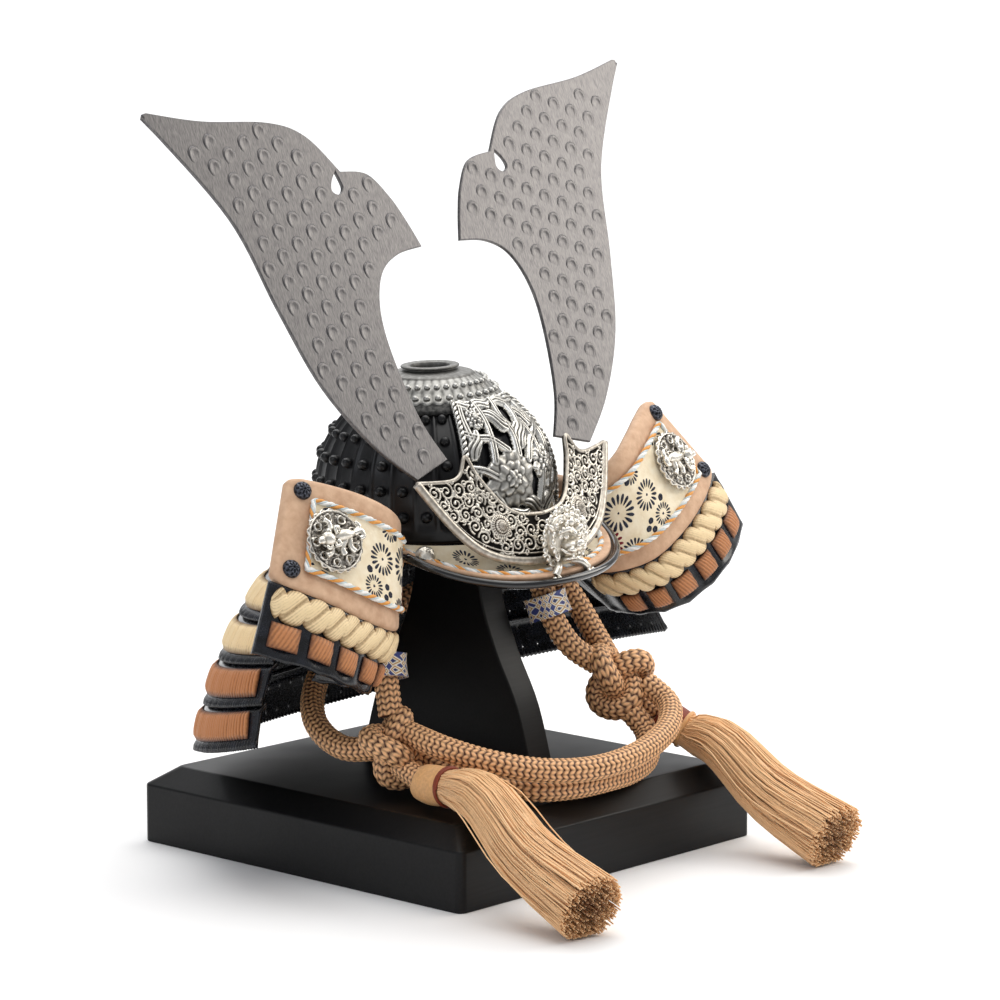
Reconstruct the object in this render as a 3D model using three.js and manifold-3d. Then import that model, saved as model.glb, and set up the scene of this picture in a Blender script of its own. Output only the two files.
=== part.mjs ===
// A miniature display kabuto, the helmet of a suit of samurai armour, on its plain black stand.
// Millimetres, +Z up. The helmet faces -Y, the wearer's left is +X,
// and the origin is the middle of the base's underside.
import * as THREE from 'three';
import { mergeVertices } from 'three/addons/utils/BufferGeometryUtils.js';
import Module from 'manifold-3d';

const wasm = await Module();
wasm.setup();

// ---------------------------------------------------------------- driving dimensions

const GAP = 0.3;
const SLIVER = 0.06;
const TURN = Math.PI * 2;
const DEGREE = Math.PI / 180;

const BASE = { width: 130, depth: 132, side: 17.7, height: 23.2, chamfer: 7.5, corner: 2.5 };
const POST = { thickness: 10, centreY: -4, headZ: 131, neckHalf: 12 };

const HELMET_TILT = -2.9 * DEGREE; // the helmet sits on its post with its left side a little high
const HELMET_PIVOT = 100;

const BOWL = {
  centreY: 5, radius: 35, crown: 30.8, springZ: 110, rimZ: 97, wall: 2,
  plates: 32, seam: 0.9, holeRadius: 5.8,
};
const RIVET = { rows: 5, first: 8, pitch: 7.8, height: 1.5 };

const FRONT_PLATE = { halfAngle: 32, low: 4, high: 44, offset: 1.3, thickness: 1.3 };
const CROWN_PETALS = 18;

const VISOR = {
  halfWidth: 40.5, reach: 38, centreY: -13, frontZ: 86.3, rise: 12.5, endAngle: 80,
  innerRadius: 36.7, innerZ: 97, thickness: 1.4, rimRadius: 1.5, leather: 0.7,
};

const HORN = { footY: -22.2, footZ: 124, lean: 0.365, thickness: 1.2 };
const HORN_STAND = { frontY: -44, lowZ: 87, lean: 0.36, sweep: 0.18, round: 8, thickness: 1.4 };

const PANEL = { thickness: 2.2, print: 0.7 };
const LACED_PLATE = { thickness: 1.4, bundles: 6, ropeTurns: 8 };
const MEDALLION = { radius: 9.4, thickness: 1.2, holes: 6 };

const NECK = { thickness: 1.3, lacing: 0.9, bundleDepth: 1.1, bundles: 13 };
// One line for each edge of the neck guard's rows, from the bowl down to the hem.
const NECK_EDGES = [
  { halfWidth: 38.5, centreY: 5, rearY: 43.5, sideZ: 95, rearZ: 94, frontY: -1 },
  { halfWidth: 57, centreY: 2, rearY: 50.5, sideZ: 88, rearZ: 84, frontY: -1 },
  { halfWidth: 70, centreY: 0, rearY: 55, sideZ: 79, rearZ: 72.5, frontY: -2 },
  { halfWidth: 79.5, centreY: -2, rearY: 58.5, sideZ: 69, rearZ: 59, frontY: -4 },
  { halfWidth: 86.5, centreY: -3, rearY: 61.5, sideZ: 58.5, rearZ: 45, frontY: -6 },
  { halfWidth: 91.5, centreY: -4, rearY: 63.5, sideZ: 47.7, rearZ: 30.5, frontY: -8 },
];

const CORD_RADIUS = 3.7;
const TASSEL = { neckRadius: 5.7, tipRadius: 11, locks: 9 };

// ---------------------------------------------------------------- materials

function finish(color, roughness, metalness = 0) {
  return new THREE.MeshStandardMaterial({ color, roughness, metalness });
}

const MATERIAL = {
  blackWood: finish('#17171a', 0.45),
  lacquer: finish('#16161a', 0.3),
  pewter: finish('#a9a9a6', 0.35, 0.9),
  antiqueSilver: finish('#b8b0a4', 0.35, 0.9),
  brightSilver: finish('#e4e0d4', 0.25, 1),
  hornPlate: finish('#8f8c8c', 0.4, 0.9),
  tanLeather: finish('#cfae92', 0.7),
  printedLeather: finish('#f0e2c6', 0.6),
  creamLacing: finish('#e9cfa2', 0.85),
  brownLacing: finish('#b07346', 0.85),
  brocade: finish('#e8dcc0', 0.7),
  copperCord: finish('#c98a5e', 0.7),
};

// ---------------------------------------------------------------- solids and sheets

function point(x, y, z) {
  return new THREE.Vector3(x, y, z);
}

function signedVolume(geometry) {
  const place = geometry.attributes.position;
  const [a, b, c] = [point(), point(), point()];
  let sum = 0;
  for (let i = 0; i < geometry.index.count; i += 3) {
    a.fromBufferAttribute(place, geometry.index.getX(i));
    b.fromBufferAttribute(place, geometry.index.getX(i + 1));
    c.fromBufferAttribute(place, geometry.index.getX(i + 2));
    sum += a.dot(b.cross(c));
  }
  return sum / 6;
}

// Shared corners merged and every face turned outward.
function closed(geometry) {
  const bare = geometry.clone();
  bare.deleteAttribute('normal');
  bare.deleteAttribute('uv');
  const merged = mergeVertices(bare, 1e-4);
  if (signedVolume(merged) < 0) {
    const index = merged.index.array;
    for (let i = 0; i < index.length; i += 3) {
      [index[i], index[i + 1]] = [index[i + 1], index[i]];
    }
  }
  return merged;
}

function toSolid(geometry) {
  const mesh = closed(geometry);
  return new wasm.Manifold(new wasm.Mesh({
    numProp: 3,
    vertProperties: new Float32Array(mesh.attributes.position.array),
    triVerts: new Uint32Array(mesh.index.array),
  }));
}

// Back to a geometry, with the slivers along cut edges tidied away.
function toGeometry(solid) {
  const mesh = solid.asOriginal().simplify(SLIVER).getMesh();
  const geometry = new THREE.BufferGeometry();
  geometry.setAttribute('position', new THREE.BufferAttribute(mesh.vertProperties, 3));
  geometry.setIndex(new THREE.BufferAttribute(mesh.triVerts, 1));
  return geometry;
}

function fuse(geometries) {
  return toGeometry(geometries.map(toSolid).reduce((whole, next) => whole.add(next)));
}

function cut(geometry, tools) {
  return toGeometry(tools.map(toSolid).reduce((whole, next) => whole.subtract(next), toSolid(geometry)));
}

// The largest body left when a cut leaves crumbs.
function largestBody(geometry) {
  const bodies = toSolid(geometry).decompose();
  return toGeometry(bodies.reduce((best, next) => (next.volume() > best.volume() ? next : best)));
}

function fromTriangles(points, triangles) {
  const geometry = new THREE.BufferGeometry();
  geometry.setAttribute('position', new THREE.Float32BufferAttribute(points.flatMap((p) => [p.x, p.y, p.z]), 3));
  geometry.setIndex(triangles);
  return geometry;
}

// A closed body through rings of equal count, with a fan at each end.
function loft(rings) {
  const count = rings[0].length;
  const points = rings.flat();
  const triangles = [];
  for (let ring = 0; ring + 1 < rings.length; ring += 1) {
    for (let i = 0; i < count; i += 1) {
      const a = ring * count + i;
      const b = ring * count + (i + 1) % count;
      triangles.push(a, b, b + count, a, b + count, a + count);
    }
  }
  for (const [start, turned] of [[0, true], [(rings.length - 1) * count, false]]) {
    const centre = points.slice(start, start + count).reduce((sum, p) => sum.add(p), point(0, 0, 0));
    const hub = points.push(centre.divideScalar(count)) - 1;
    for (let i = 0; i < count; i += 1) {
      const next = start + (i + 1) % count;
      triangles.push(hub, turned ? next : start + i, turned ? start + i : next);
    }
  }
  return fromTriangles(points, triangles);
}

function normalAt(surface, u, v) {
  const step = 1e-3;
  const alongU = surface(u + step, v).sub(surface(u - step, v));
  const alongV = surface(u, v + step).sub(surface(u, v - step));
  return alongU.cross(alongV).normalize();
}

function lifted(surface, u, v, height) {
  return surface(u, v).addScaledVector(normalAt(surface, u, v), height);
}

// A closed sheet over a surface, between two heights that may change along it.
function sheet(surface, columns, rows, low, high, range = {}) {
  const { fromU = 0, toU = 1, fromV = 0, toV = 1 } = range;
  const heightOf = (height, u, v) => (typeof height === 'function' ? height(u, v) : height);
  const points = [];
  for (const height of [low, high]) {
    for (let j = 0; j <= rows; j += 1) {
      for (let i = 0; i <= columns; i += 1) {
        const u = fromU + (toU - fromU) * i / columns;
        const v = fromV + (toV - fromV) * j / rows;
        points.push(lifted(surface, u, v, heightOf(height, i, j)));
      }
    }
  }
  const layer = (columns + 1) * (rows + 1);
  const at = (i, j, top) => top * layer + j * (columns + 1) + i;
  const triangles = [];
  const quad = (a, b, c, d) => triangles.push(a, b, c, a, c, d);
  for (let j = 0; j < rows; j += 1) {
    for (let i = 0; i < columns; i += 1) {
      quad(at(i, j, 1), at(i + 1, j, 1), at(i + 1, j + 1, 1), at(i, j + 1, 1));
      quad(at(i, j, 0), at(i, j + 1, 0), at(i + 1, j + 1, 0), at(i + 1, j, 0));
    }
  }
  for (let i = 0; i < columns; i += 1) {
    quad(at(i, 0, 0), at(i + 1, 0, 0), at(i + 1, 0, 1), at(i, 0, 1));
    quad(at(i + 1, rows, 0), at(i, rows, 0), at(i, rows, 1), at(i + 1, rows, 1));
  }
  for (let j = 0; j < rows; j += 1) {
    quad(at(0, j + 1, 0), at(0, j, 0), at(0, j, 1), at(0, j + 1, 1));
    quad(at(columns, j, 0), at(columns, j + 1, 0), at(columns, j + 1, 1), at(columns, j, 1));
  }
  return fromTriangles(points, triangles);
}

// A flat outline laid over a curved place, between two heights.
function curvedPlate(shape, place, low, thickness, curveSegments = 4) {
  const plate = new THREE.ExtrudeGeometry(shape, { depth: thickness, bevelEnabled: false, curveSegments });
  const position = plate.attributes.position;
  for (let i = 0; i < position.count; i += 1) {
    const spot = place(position.getX(i), position.getY(i), low + position.getZ(i));
    position.setXYZ(i, spot.x, spot.y, spot.z);
  }
  return plate;
}

function mirrored(geometry) {
  return closed(geometry.clone().scale(-1, 1, 1));
}

function regularShape(radius, sides) {
  const corners = Array.from({ length: sides }, (_, i) => {
    const angle = TURN * (i + 0.5) / sides;
    return new THREE.Vector2(radius * Math.cos(angle), radius * Math.sin(angle));
  });
  return new THREE.Shape(corners);
}

function tube(points, radius, sides, steps) {
  const path = new THREE.CatmullRomCurve3(points, false, 'centripetal');
  return new THREE.ExtrudeGeometry(regularShape(radius, sides), { steps, extrudePath: path });
}

// A rounded lump: 0 is a plain diamond, 1 a ball of twenty faces, 2 a ball of eighty.
function lump(centre, size, detail = 1, turn = [0, 0, 0]) {
  const ball = detail > 0 ? new THREE.IcosahedronGeometry(1, detail - 1) : new THREE.OctahedronGeometry(1, 0);
  ball.scale(...size);
  ball.rotateX(turn[0] * DEGREE).rotateY(turn[1] * DEGREE).rotateZ(turn[2] * DEGREE);
  return ball.translate(...centre);
}

function along(places) {
  return new THREE.CatmullRomCurve3(places.map((p) => point(...p)), false, 'centripetal');
}

// ---------------------------------------------------------------- the scene graph

const part = new THREE.Group();
const tilt = new THREE.Group();
const helmet = new THREE.Group();
tilt.position.z = HELMET_PIVOT;
tilt.rotation.y = HELMET_TILT;
helmet.position.z = -HELMET_PIVOT;
tilt.add(helmet);
part.add(tilt);

function addPiece(group, name, geometry, material) {
  const mesh = new THREE.Mesh(closed(geometry), material);
  mesh.name = name;
  group.add(mesh);
}

function addPair(name, geometry, material) {
  addPiece(helmet, `${name}_left`, geometry, material);
  addPiece(helmet, `${name}_right`, mirrored(geometry), material);
}

// ---------------------------------------------------------------- stand

function roundedRectangle(width, depth, radius) {
  const shape = new THREE.Shape();
  const [x, y] = [width / 2 - radius, depth / 2 - radius];
  shape.absarc(x, y, radius, 0, TURN / 4);
  shape.absarc(-x, y, radius, TURN / 4, TURN / 2);
  shape.absarc(-x, -y, radius, TURN / 2, TURN * 3 / 4);
  shape.absarc(x, -y, radius, TURN * 3 / 4, TURN);
  return shape;
}

function standBase() {
  const ring = (inset, z) => roundedRectangle(BASE.width - 2 * inset, BASE.depth - 2 * inset, BASE.corner)
    .extractPoints(2).shape.slice(0, -1)
    .map((p) => point(p.x, p.y, z));
  return loft([ring(0, 0), ring(0, BASE.side), ring(BASE.chamfer, BASE.height)]);
}

// The post is one board on edge: wide at its foot, narrow at the neck, with a round head in the bowl.
function standPost() {
  const { centreY, neckHalf, headZ } = POST;
  const foot = BASE.height + GAP;
  const flare = [[35.5, foot], [29, 45], [20.5, 61], [14.5, 76], [neckHalf, 92]];
  const right = flare.map(([half, z]) => new THREE.Vector2(centreY + half, z));
  const left = flare.map(([half, z]) => new THREE.Vector2(centreY - half, z)).reverse();
  const board = new THREE.Shape();
  board.moveTo(right[0].x, right[0].y);
  board.splineThru(right.slice(1));
  board.lineTo(centreY + neckHalf, headZ - neckHalf);
  board.absarc(centreY, headZ - neckHalf, neckHalf, 0, TURN / 2);
  board.lineTo(left[0].x, left[0].y);
  board.splineThru(left.slice(1));
  const solid = new THREE.ExtrudeGeometry(board, { depth: POST.thickness, bevelEnabled: false, curveSegments: 4 });
  // The outline is drawn in Y and Z, and the thickness runs along X.
  solid.translate(0, 0, -POST.thickness / 2);
  solid.applyMatrix4(new THREE.Matrix4().makeBasis(point(0, 1, 0), point(0, 0, 1), point(1, 0, 0)));
  return solid;
}

addPiece(part, 'stand_base', standBase(), MATERIAL.blackWood);
addPiece(part, 'stand_post', standPost(), MATERIAL.blackWood);

// ---------------------------------------------------------------- bowl

const BOWL_WALL_RISE = BOWL.springZ - BOWL.rimZ;
const BOWL_ARC = (BOWL.radius + BOWL.crown) / 2;

// Azimuth runs from the front toward the wearer's left, run is the way up the bowl from its rim.
function bowlPoint(azimuth, run, height = 0) {
  const angle = Math.max(0, (run - BOWL_WALL_RISE) / BOWL_ARC);
  const up = Math.min(run, BOWL_WALL_RISE);
  const out = point(Math.cos(angle) * BOWL.crown, 0, Math.sin(angle) * BOWL.radius).normalize();
  const radius = BOWL.radius * Math.cos(angle) + height * out.x;
  return point(
    radius * Math.sin(azimuth),
    BOWL.centreY - radius * Math.cos(azimuth),
    BOWL.rimZ + up + BOWL.crown * Math.sin(angle) + height * out.z,
  );
}

function bowlRings(columns, runs, heightOf) {
  return runs.map((run) => Array.from({ length: columns }, (_, i) => (
    bowlPoint(TURN * i / columns, run, heightOf(i, run))
  )));
}

// The riveted plates: every second column is a raised seam, and between seams the rivets stand up in rows.
function bowlBody() {
  const holeRun = BOWL_WALL_RISE + BOWL_ARC * Math.acos(BOWL.holeRadius / BOWL.radius);
  const columns = 2 * BOWL.plates;
  const runs = [0];
  for (let row = 0; row < RIVET.rows; row += 1) {
    runs.push(RIVET.first + RIVET.pitch * row, RIVET.first + RIVET.pitch * (row + 0.5));
  }
  runs.splice(1, 0, RIVET.first - RIVET.pitch / 2);
  runs.push(50, holeRun + 1);
  const underFrontPlate = (column) => {
    const degrees = 360 * Math.min(column, columns - column) / columns;
    return degrees < FRONT_PLATE.halfAngle + 4;
  };
  const ridged = loft(bowlRings(columns, runs, (column, run) => {
    const onRivet = Number.isInteger((run - RIVET.first) / RIVET.pitch);
    const rivetHeight = onRivet && !underFrontPlate(column) ? RIVET.height : 0;
    return column % 2 ? rivetHeight : BOWL.seam;
  }));
  const hollow = loft(bowlRings(24, [-4, 13, 27, 41, holeRun - 1], () => -BOWL.wall));
  const hole = new THREE.CylinderGeometry(BOWL.holeRadius, BOWL.holeRadius, 20, 12)
    .rotateX(TURN / 4)
    .translate(0, BOWL.centreY, BOWL.springZ + BOWL.crown);
  return cut(ridged, [hollow, hole]);
}

addPiece(helmet, 'bowl', bowlBody(), MATERIAL.lacquer);

// ---------------------------------------------------------------- pierced plate on the front of the bowl

function frontPlatePoint(degrees, run, height) {
  return bowlPoint(degrees * DEGREE, run, FRONT_PLATE.offset + height);
}

// A gap through the pierced plate: degrees from the middle, the run up the bowl, and half sizes.
function pierced([degrees, run, wide, tall]) {
  const corners = [[wide, -tall * 0.4], [wide * 0.3, tall], [-wide, tall * 0.4], [-wide * 0.3, -tall]];
  const ring = (height) => corners.map(([x, y]) => frontPlatePoint(degrees + x, run + y, height));
  return loft([ring(-1), ring(FRONT_PLATE.thickness + 1)]);
}

function frontPlate() {
  const { halfAngle, low, high, thickness } = FRONT_PLATE;
  const surface = (u, v) => frontPlatePoint((2 * u - 1) * halfAngle, low + (high - low) * v, 0);
  const plate = sheet(surface, 7, 5, 0, thickness);
  const gaps = [
    [-24, 36, 3.6, 2.2], [-12, 38, 3.4, 1.5], [-13, 30, 4.4, 1.9], [-25, 27, 3.4, 2.3], [2, 38, 3.4, 1.4],
    [0, 27, 2.8, 2.2], [7, 33, 3.4, 1.6], [3, 21, 2.6, 2.2], [17, 36, 3.4, 1.6], [24, 30, 3.2, 2],
    [26, 16, 2.4, 2.4], [-26, 15, 2.4, 2.2], [5, 11, 3.4, 1.7], [-8, 10, 3.4, 1.6], [16, 12, 3, 1.6],
  ];
  const base = cut(plate, gaps.map(pierced));
  return largestBody(fuse([base, ...frontFlowers(), ...frontBorders()]));
}

// A petal or leaf: a low five-sided mound rooted in the plate.
function petal(degrees, run, wide, tall, height) {
  const foot = frontPlatePoint(degrees, run, FRONT_PLATE.thickness / 2);
  const outward = frontPlatePoint(degrees, run, FRONT_PLATE.thickness / 2 + 1).sub(foot);
  const mound = new THREE.CylinderGeometry(0.45, 1, height, 5, 1);
  mound.scale(wide, 1, tall).translate(0, height / 2, 0).rotateX(TURN / 4);
  mound.applyQuaternion(new THREE.Quaternion().setFromUnitVectors(point(0, 0, 1), outward));
  return mound.translate(foot.x, foot.y, foot.z);
}

// Two peonies in relief, each a heart with a ring of petals, and leaves beside them.
function frontFlowers() {
  const flowers = [{ degrees: -12, run: 20, reach: 4.4 }, { degrees: 15, run: 23.5, reach: 3 }];
  const pieces = [];
  for (const { degrees, run, reach } of flowers) {
    pieces.push(petal(degrees, run, reach * 0.5, reach * 0.5, 2.8));
    for (let i = 0; i < 5; i += 1) {
      const angle = TURN * i / 5 + 0.3;
      const spread = reach / (BOWL.radius * DEGREE);
      pieces.push(petal(degrees + spread * Math.cos(angle), run + reach * Math.sin(angle), reach * 0.62, reach * 0.55, 2));
    }
  }
  for (const [degrees, run] of [[-19, 33], [-6, 33], [10, 30], [22, 28], [-15, 13], [8, 16.5]]) {
    pieces.push(petal(degrees, run, 2.5, 1.7, 1.6));
  }
  return pieces;
}

// The roped edges of the pierced plate.
function frontBorders() {
  return [-1, 1].map((side) => {
    const edge = (FRONT_PLATE.halfAngle - 1.2) * side;
    const places = [5, 14, 23, 32, 43].map((run) => frontPlatePoint(edge, run, FRONT_PLATE.thickness * 0.6));
    return tube(places, 1.2, 4, 6);
  });
}

addPiece(helmet, 'bowl_front_plate', frontPlate(), MATERIAL.pewter);

// ---------------------------------------------------------------- ornament round the crown's hole

function crownOrnament() {
  // Radius, height over the springing and depth of the scallops, from the hem up to the collar.
  const tiers = [
    [18, 21, 0], [21.3, 25.7, 0.9], [21, 27, 0.9], [17.2, 28.6, 0.3], [16.8, 29.8, 0.9],
    [12.2, 31.4, 0.7], [8.5, 33.2, 0], [7.9, 35.2, 0],
  ];
  const rings = tiers.map(([radius, rise, scallop]) => Array.from({ length: 2 * CROWN_PETALS }, (_, i) => {
    const reach = radius - (i % 2 ? scallop : 0);
    const angle = TURN * i / (2 * CROWN_PETALS);
    return point(reach * Math.sin(angle), BOWL.centreY - reach * Math.cos(angle), BOWL.springZ + rise);
  }));
  const bowlSpace = loft(bowlRings(20, [0, 22, 31, 38, 45, 52, 58, 65], () => BOWL.seam + GAP + 0.1));
  const hole = new THREE.CylinderGeometry(BOWL.holeRadius, BOWL.holeRadius, 60, 12)
    .rotateX(TURN / 4)
    .translate(0, BOWL.centreY, BOWL.springZ + BOWL.crown);
  return largestBody(cut(loft(rings), [bowlSpace, hole]));
}

addPiece(helmet, 'crown_ornament', crownOrnament(), MATERIAL.pewter);

// ---------------------------------------------------------------- visor

// u runs from the wearer's left end to the right end, v from the bowl out to the rim.
function visorPoint(u, v) {
  const angle = (1 - 2 * u) * VISOR.endAngle * DEGREE;
  const inner = point(VISOR.innerRadius * Math.sin(angle), BOWL.centreY - VISOR.innerRadius * Math.cos(angle), VISOR.innerZ);
  const flat = (value) => Math.sign(value) * Math.abs(value) ** 0.88;
  const rise = VISOR.rise * (Math.abs(angle) / (TURN / 4)) ** 2.2;
  const rim = point(
    VISOR.halfWidth * flat(Math.sin(angle)),
    VISOR.centreY - VISOR.reach * flat(Math.cos(angle)),
    VISOR.frontZ + rise,
  );
  const spot = inner.clone().lerp(rim, v);
  spot.z = rim.z + (inner.z - rim.z) * Math.max(0, 1 - v) ** 3;
  return spot;
}

const VISOR_SKIN = VISOR.thickness / 2 + 2.5 * GAP;

function visorPlate() {
  const wall = sheet(visorPoint, 14, 2, -VISOR.thickness / 2, VISOR.thickness / 2);
  const rimPlaces = Array.from({ length: 13 }, (_, i) => visorPoint(i / 12, 1));
  return fuse([wall, tube(rimPlaces, VISOR.rimRadius, 4, 14)]);
}

function visorStud() {
  const stud = new THREE.IcosahedronGeometry(3.3, 1);
  const place = lifted(visorPoint, 0.0875, 0.65, VISOR_SKIN + VISOR.leather + 3.3 + GAP);
  return stud.translate(place.x, place.y, place.z);
}

const visorLeather = sheet(visorPoint, 14, 2, VISOR_SKIN, VISOR_SKIN + VISOR.leather,
  { fromU: 0.02, toU: 0.98, fromV: 0.04, toV: 0.72 });
const visorBorder = sheet(visorPoint, 14, 1, VISOR_SKIN, VISOR_SKIN + VISOR.leather,
  { fromU: 0.01, toU: 0.99, fromV: 0.745, toV: 0.91 });

addPiece(helmet, 'visor_plate', visorPlate(), MATERIAL.lacquer);
addPiece(helmet, 'visor_leather', visorLeather, MATERIAL.printedLeather);
addPiece(helmet, 'visor_border', visorBorder, MATERIAL.tanLeather);
addPair('visor_stud', visorStud(), MATERIAL.brightSilver);

// ---------------------------------------------------------------- horns

// A horn's outline in its own leaning plane: x away from the middle, y up the slope from the foot.
function hornShape() {
  const corner = (x, y) => new THREE.Vector2(x, y);
  const horn = new THREE.Shape();
  horn.moveTo(102, 111.5);
  horn.splineThru([corner(80, 107), corner(55, 104.3), corner(42, 99), corner(32.3, 87.3)]);
  horn.splineThru([corner(22, 85.5), corner(15.5, 78), corner(11.5, 70), corner(8.3, 61.6)]);
  horn.splineThru([corner(19, 60.3), corner(27.5, 55.5), corner(32.5, 45), corner(33, 31), corner(29.5, 11), corner(23, -3)]);
  horn.lineTo(38, -6);
  horn.splineThru([corner(51.5, 7), corner(64, 26), corner(72, 50), corner(80, 78), corner(102, 111.5)]);
  const drop = new THREE.Path();
  drop.moveTo(34.3, 87.5);
  drop.splineThru([corner(36.8, 84.6), corner(37.6, 81.8), corner(35.2, 80.6), corner(33.2, 82.6), corner(34.3, 87.5)]);
  horn.holes.push(drop);
  return horn;
}

function horn() {
  const plate = new THREE.ExtrudeGeometry(hornShape(), { depth: HORN.thickness, bevelEnabled: false, curveSegments: 3 });
  plate.translate(0, 0, -HORN.thickness / 2);
  plate.rotateX(TURN / 4 - Math.atan(HORN.lean));
  return plate.translate(0, HORN.footY, HORN.footZ);
}

addPair('horn', horn(), MATERIAL.hornPlate);

// ---------------------------------------------------------------- horn stand and crest

function hornStandPoint(x, z, height) {
  const { frontY, lowZ, lean, sweep, round } = HORN_STAND;
  const y = frontY + lean * (z - lowZ) + sweep * (Math.hypot(x, round) - round);
  const outward = point(sweep * x / Math.hypot(x, round), -1, lean).normalize();
  return point(x, y, z).addScaledVector(outward, height);
}

const STAND_LOW_EDGE = [[41, 118], [37.6, 112], [32.4, 104], [26.5, 97.6], [19, 93.7], [9.5, 91.6], [0, 91]];
const STAND_TOP_EDGE = [[0, 104], [8.4, 105], [13.3, 107.8], [17, 112.8], [20, 118], [22, 123.3]];

function hornStandShape(grow = 0) {
  const half = [...STAND_LOW_EDGE].reverse().map(([x, z]) => [x, z - grow])
    .concat([[30, 117.2], [25.5, 118.6]], [...STAND_TOP_EDGE].reverse().map(([x, z]) => [x, z + grow]));
  const right = half.filter(([x]) => x > 0).map(([x, z]) => new THREE.Vector2(-x, z)).reverse();
  return new THREE.Shape([...half.map(([x, z]) => new THREE.Vector2(x, z)), ...right]);
}

function bothSides(edge) {
  return [...edge.filter(([x]) => x > 0).map(([x, z]) => [-x, z]), ...[...edge].reverse()];
}

// A scroll of karakusa vine, raised on the plate.
function scroll([x, z], radius, start, way) {
  const turns = 1.1;
  const places = Array.from({ length: 7 }, (_, i) => {
    const share = i / 6;
    const angle = start + way * TURN * turns * share;
    const reach = radius * (1 - 0.8 * share);
    return hornStandPoint(x + reach * Math.cos(angle), z + reach * Math.sin(angle), HORN_STAND.thickness / 2);
  });
  return tube(places, 0.8, 3, 6);
}

function rosette(x, z) {
  const foot = hornStandPoint(x, z, 0);
  const outward = hornStandPoint(x, z, 1).sub(foot);
  const profile = [[0, 0], [3.6, 0], [3.6, 1.3], [1.7, 2.6], [0, 3]];
  const boss = new THREE.LatheGeometry(profile.map(([r, h]) => new THREE.Vector2(r, h)), 8);
  boss.applyQuaternion(new THREE.Quaternion().setFromUnitVectors(point(0, 1, 0), outward));
  return boss.translate(foot.x, foot.y, foot.z);
}

function hornStand() {
  const half = HORN_STAND.thickness / 2;
  const plate = curvedPlate(hornStandShape(), hornStandPoint, -half, HORN_STAND.thickness);
  const lowRim = tube(bothSides(STAND_LOW_EDGE).map(([x, z]) => hornStandPoint(x, z, half)), 1.25, 4, 16);
  const topRims = [-1, 1].map((side) => (
    tube(STAND_TOP_EDGE.slice(1).map(([x, z]) => hornStandPoint(side * x, z, half)), 0.8, 3, 5)
  ));
  const vines = [[32, 112, 3.8], [25, 107, 4], [10.5, 97.5, 4]];
  const scrolls = vines.flatMap(([x, z, radius], i) => [
    scroll([x, z], radius, i, 1),
    scroll([-x, z], radius, Math.PI - i, -1),
  ]);
  return fuse([plate, lowRim, ...topRims, ...scrolls, rosette(17, 102.5), rosette(-17, 102.5)]);
}

// A cast lion-dog's head in high relief: muzzle, brows, jaw, curled mane and two small paws.
function crestHead() {
  const lumps = [
    lump([0, -46, 98], [7.5, 5.5, 8]),
    lump([0, -51, 95.5], [4.6, 4.6, 3.2]),
    lump([0, -54.2, 97], [2.2, 1.6, 1.5], 0),
    lump([0, -50.4, 91.4], [4, 3.6, 1.7], 0),
  ];
  for (const side of [-1, 1]) {
    lumps.push(
      lump([side * 3.4, -51, 100.2], [2.6, 1.8, 1.3], 0, [0, side * 24, 0]),
      lump([side * 3.2, -50.4, 98.2], [1.2, 1.2, 1.2], 0),
      lump([side * 5.6, -49, 95], [2.2, 2.6, 2.6], 0),
      lump([side * 7.2, -46.5, 101.5], [3, 2.6, 2.8], 0),
      lump([side * 8.8, -45.6, 97], [2.8, 2.4, 2.8], 0),
      lump([side * 8, -45.8, 92.4], [2.8, 2.6, 2.6], 0),
      lump([side * 4, -45.2, 105], [2.8, 2.4, 2.8], 0, [0, side * 20, 0]),
      lump([side * 5.5, -47.4, 91.2], [2.4, 2.8, 2], 0),
    );
  }
  const standSpace = curvedPlate(hornStandShape(3), hornStandPoint, -8, 8 + HORN_STAND.thickness / 2 + 1.6);
  return largestBody(cut(fuse(lumps), [standSpace]));
}

addPiece(helmet, 'horn_stand', hornStand(), MATERIAL.antiqueSilver);
addPiece(helmet, 'crest_head', crestHead(), MATERIAL.brightSilver);

// ---------------------------------------------------------------- turn-backs, made for the wearer's left

// Each edge starts at the neck guard, comes forward beside the visor and turns outward.
const PANEL_TOP = along([[46, -3, 105], [43.5, -12, 105.5], [44, -21, 107.5], [50, -24, 112.5],
  [58, -22, 117.3], [67, -18, 121.3], [79, -12.5, 125.5]]);
const PANEL_FOOT = along([[48, -3, 75], [46.5, -12, 75], [50, -24, 76], [59, -30, 78.5],
  [71.6, -31.3, 84.5], [84, -29.5, 91.5], [98, -23.5, 99]]);
const PLATE_FOOT = along([[65, -5, 61.5], [61, -13, 60.5], [63, -24, 60.5], [70, -31.5, 62.3],
  [82, -35, 68], [94, -33.5, 74.5], [108.3, -26, 80.8]]);

function between(first, second) {
  return (u, v) => first.getPoint(THREE.MathUtils.clamp(u, 0, 1)).lerp(second.getPoint(THREE.MathUtils.clamp(u, 0, 1)), v)
    .addScaledVector(first.getTangent(1), Math.max(0, u - 1) * 50);
}

const panelPlane = between(PANEL_FOOT, PANEL_TOP);
const lowerPlane = between(PLATE_FOOT, PANEL_FOOT);

// The panel's outer end has round corners, so its edges draw in near u = 1.
function drawnIn(plane, share, start) {
  return (u, v) => {
    const along1 = Math.max(0, (u - start) / (1 - start));
    const inset = share * (1 - Math.sqrt(Math.max(0, 1 - along1 * along1)));
    return plane(u, inset + v * (1 - 2 * inset));
  };
}

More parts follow.
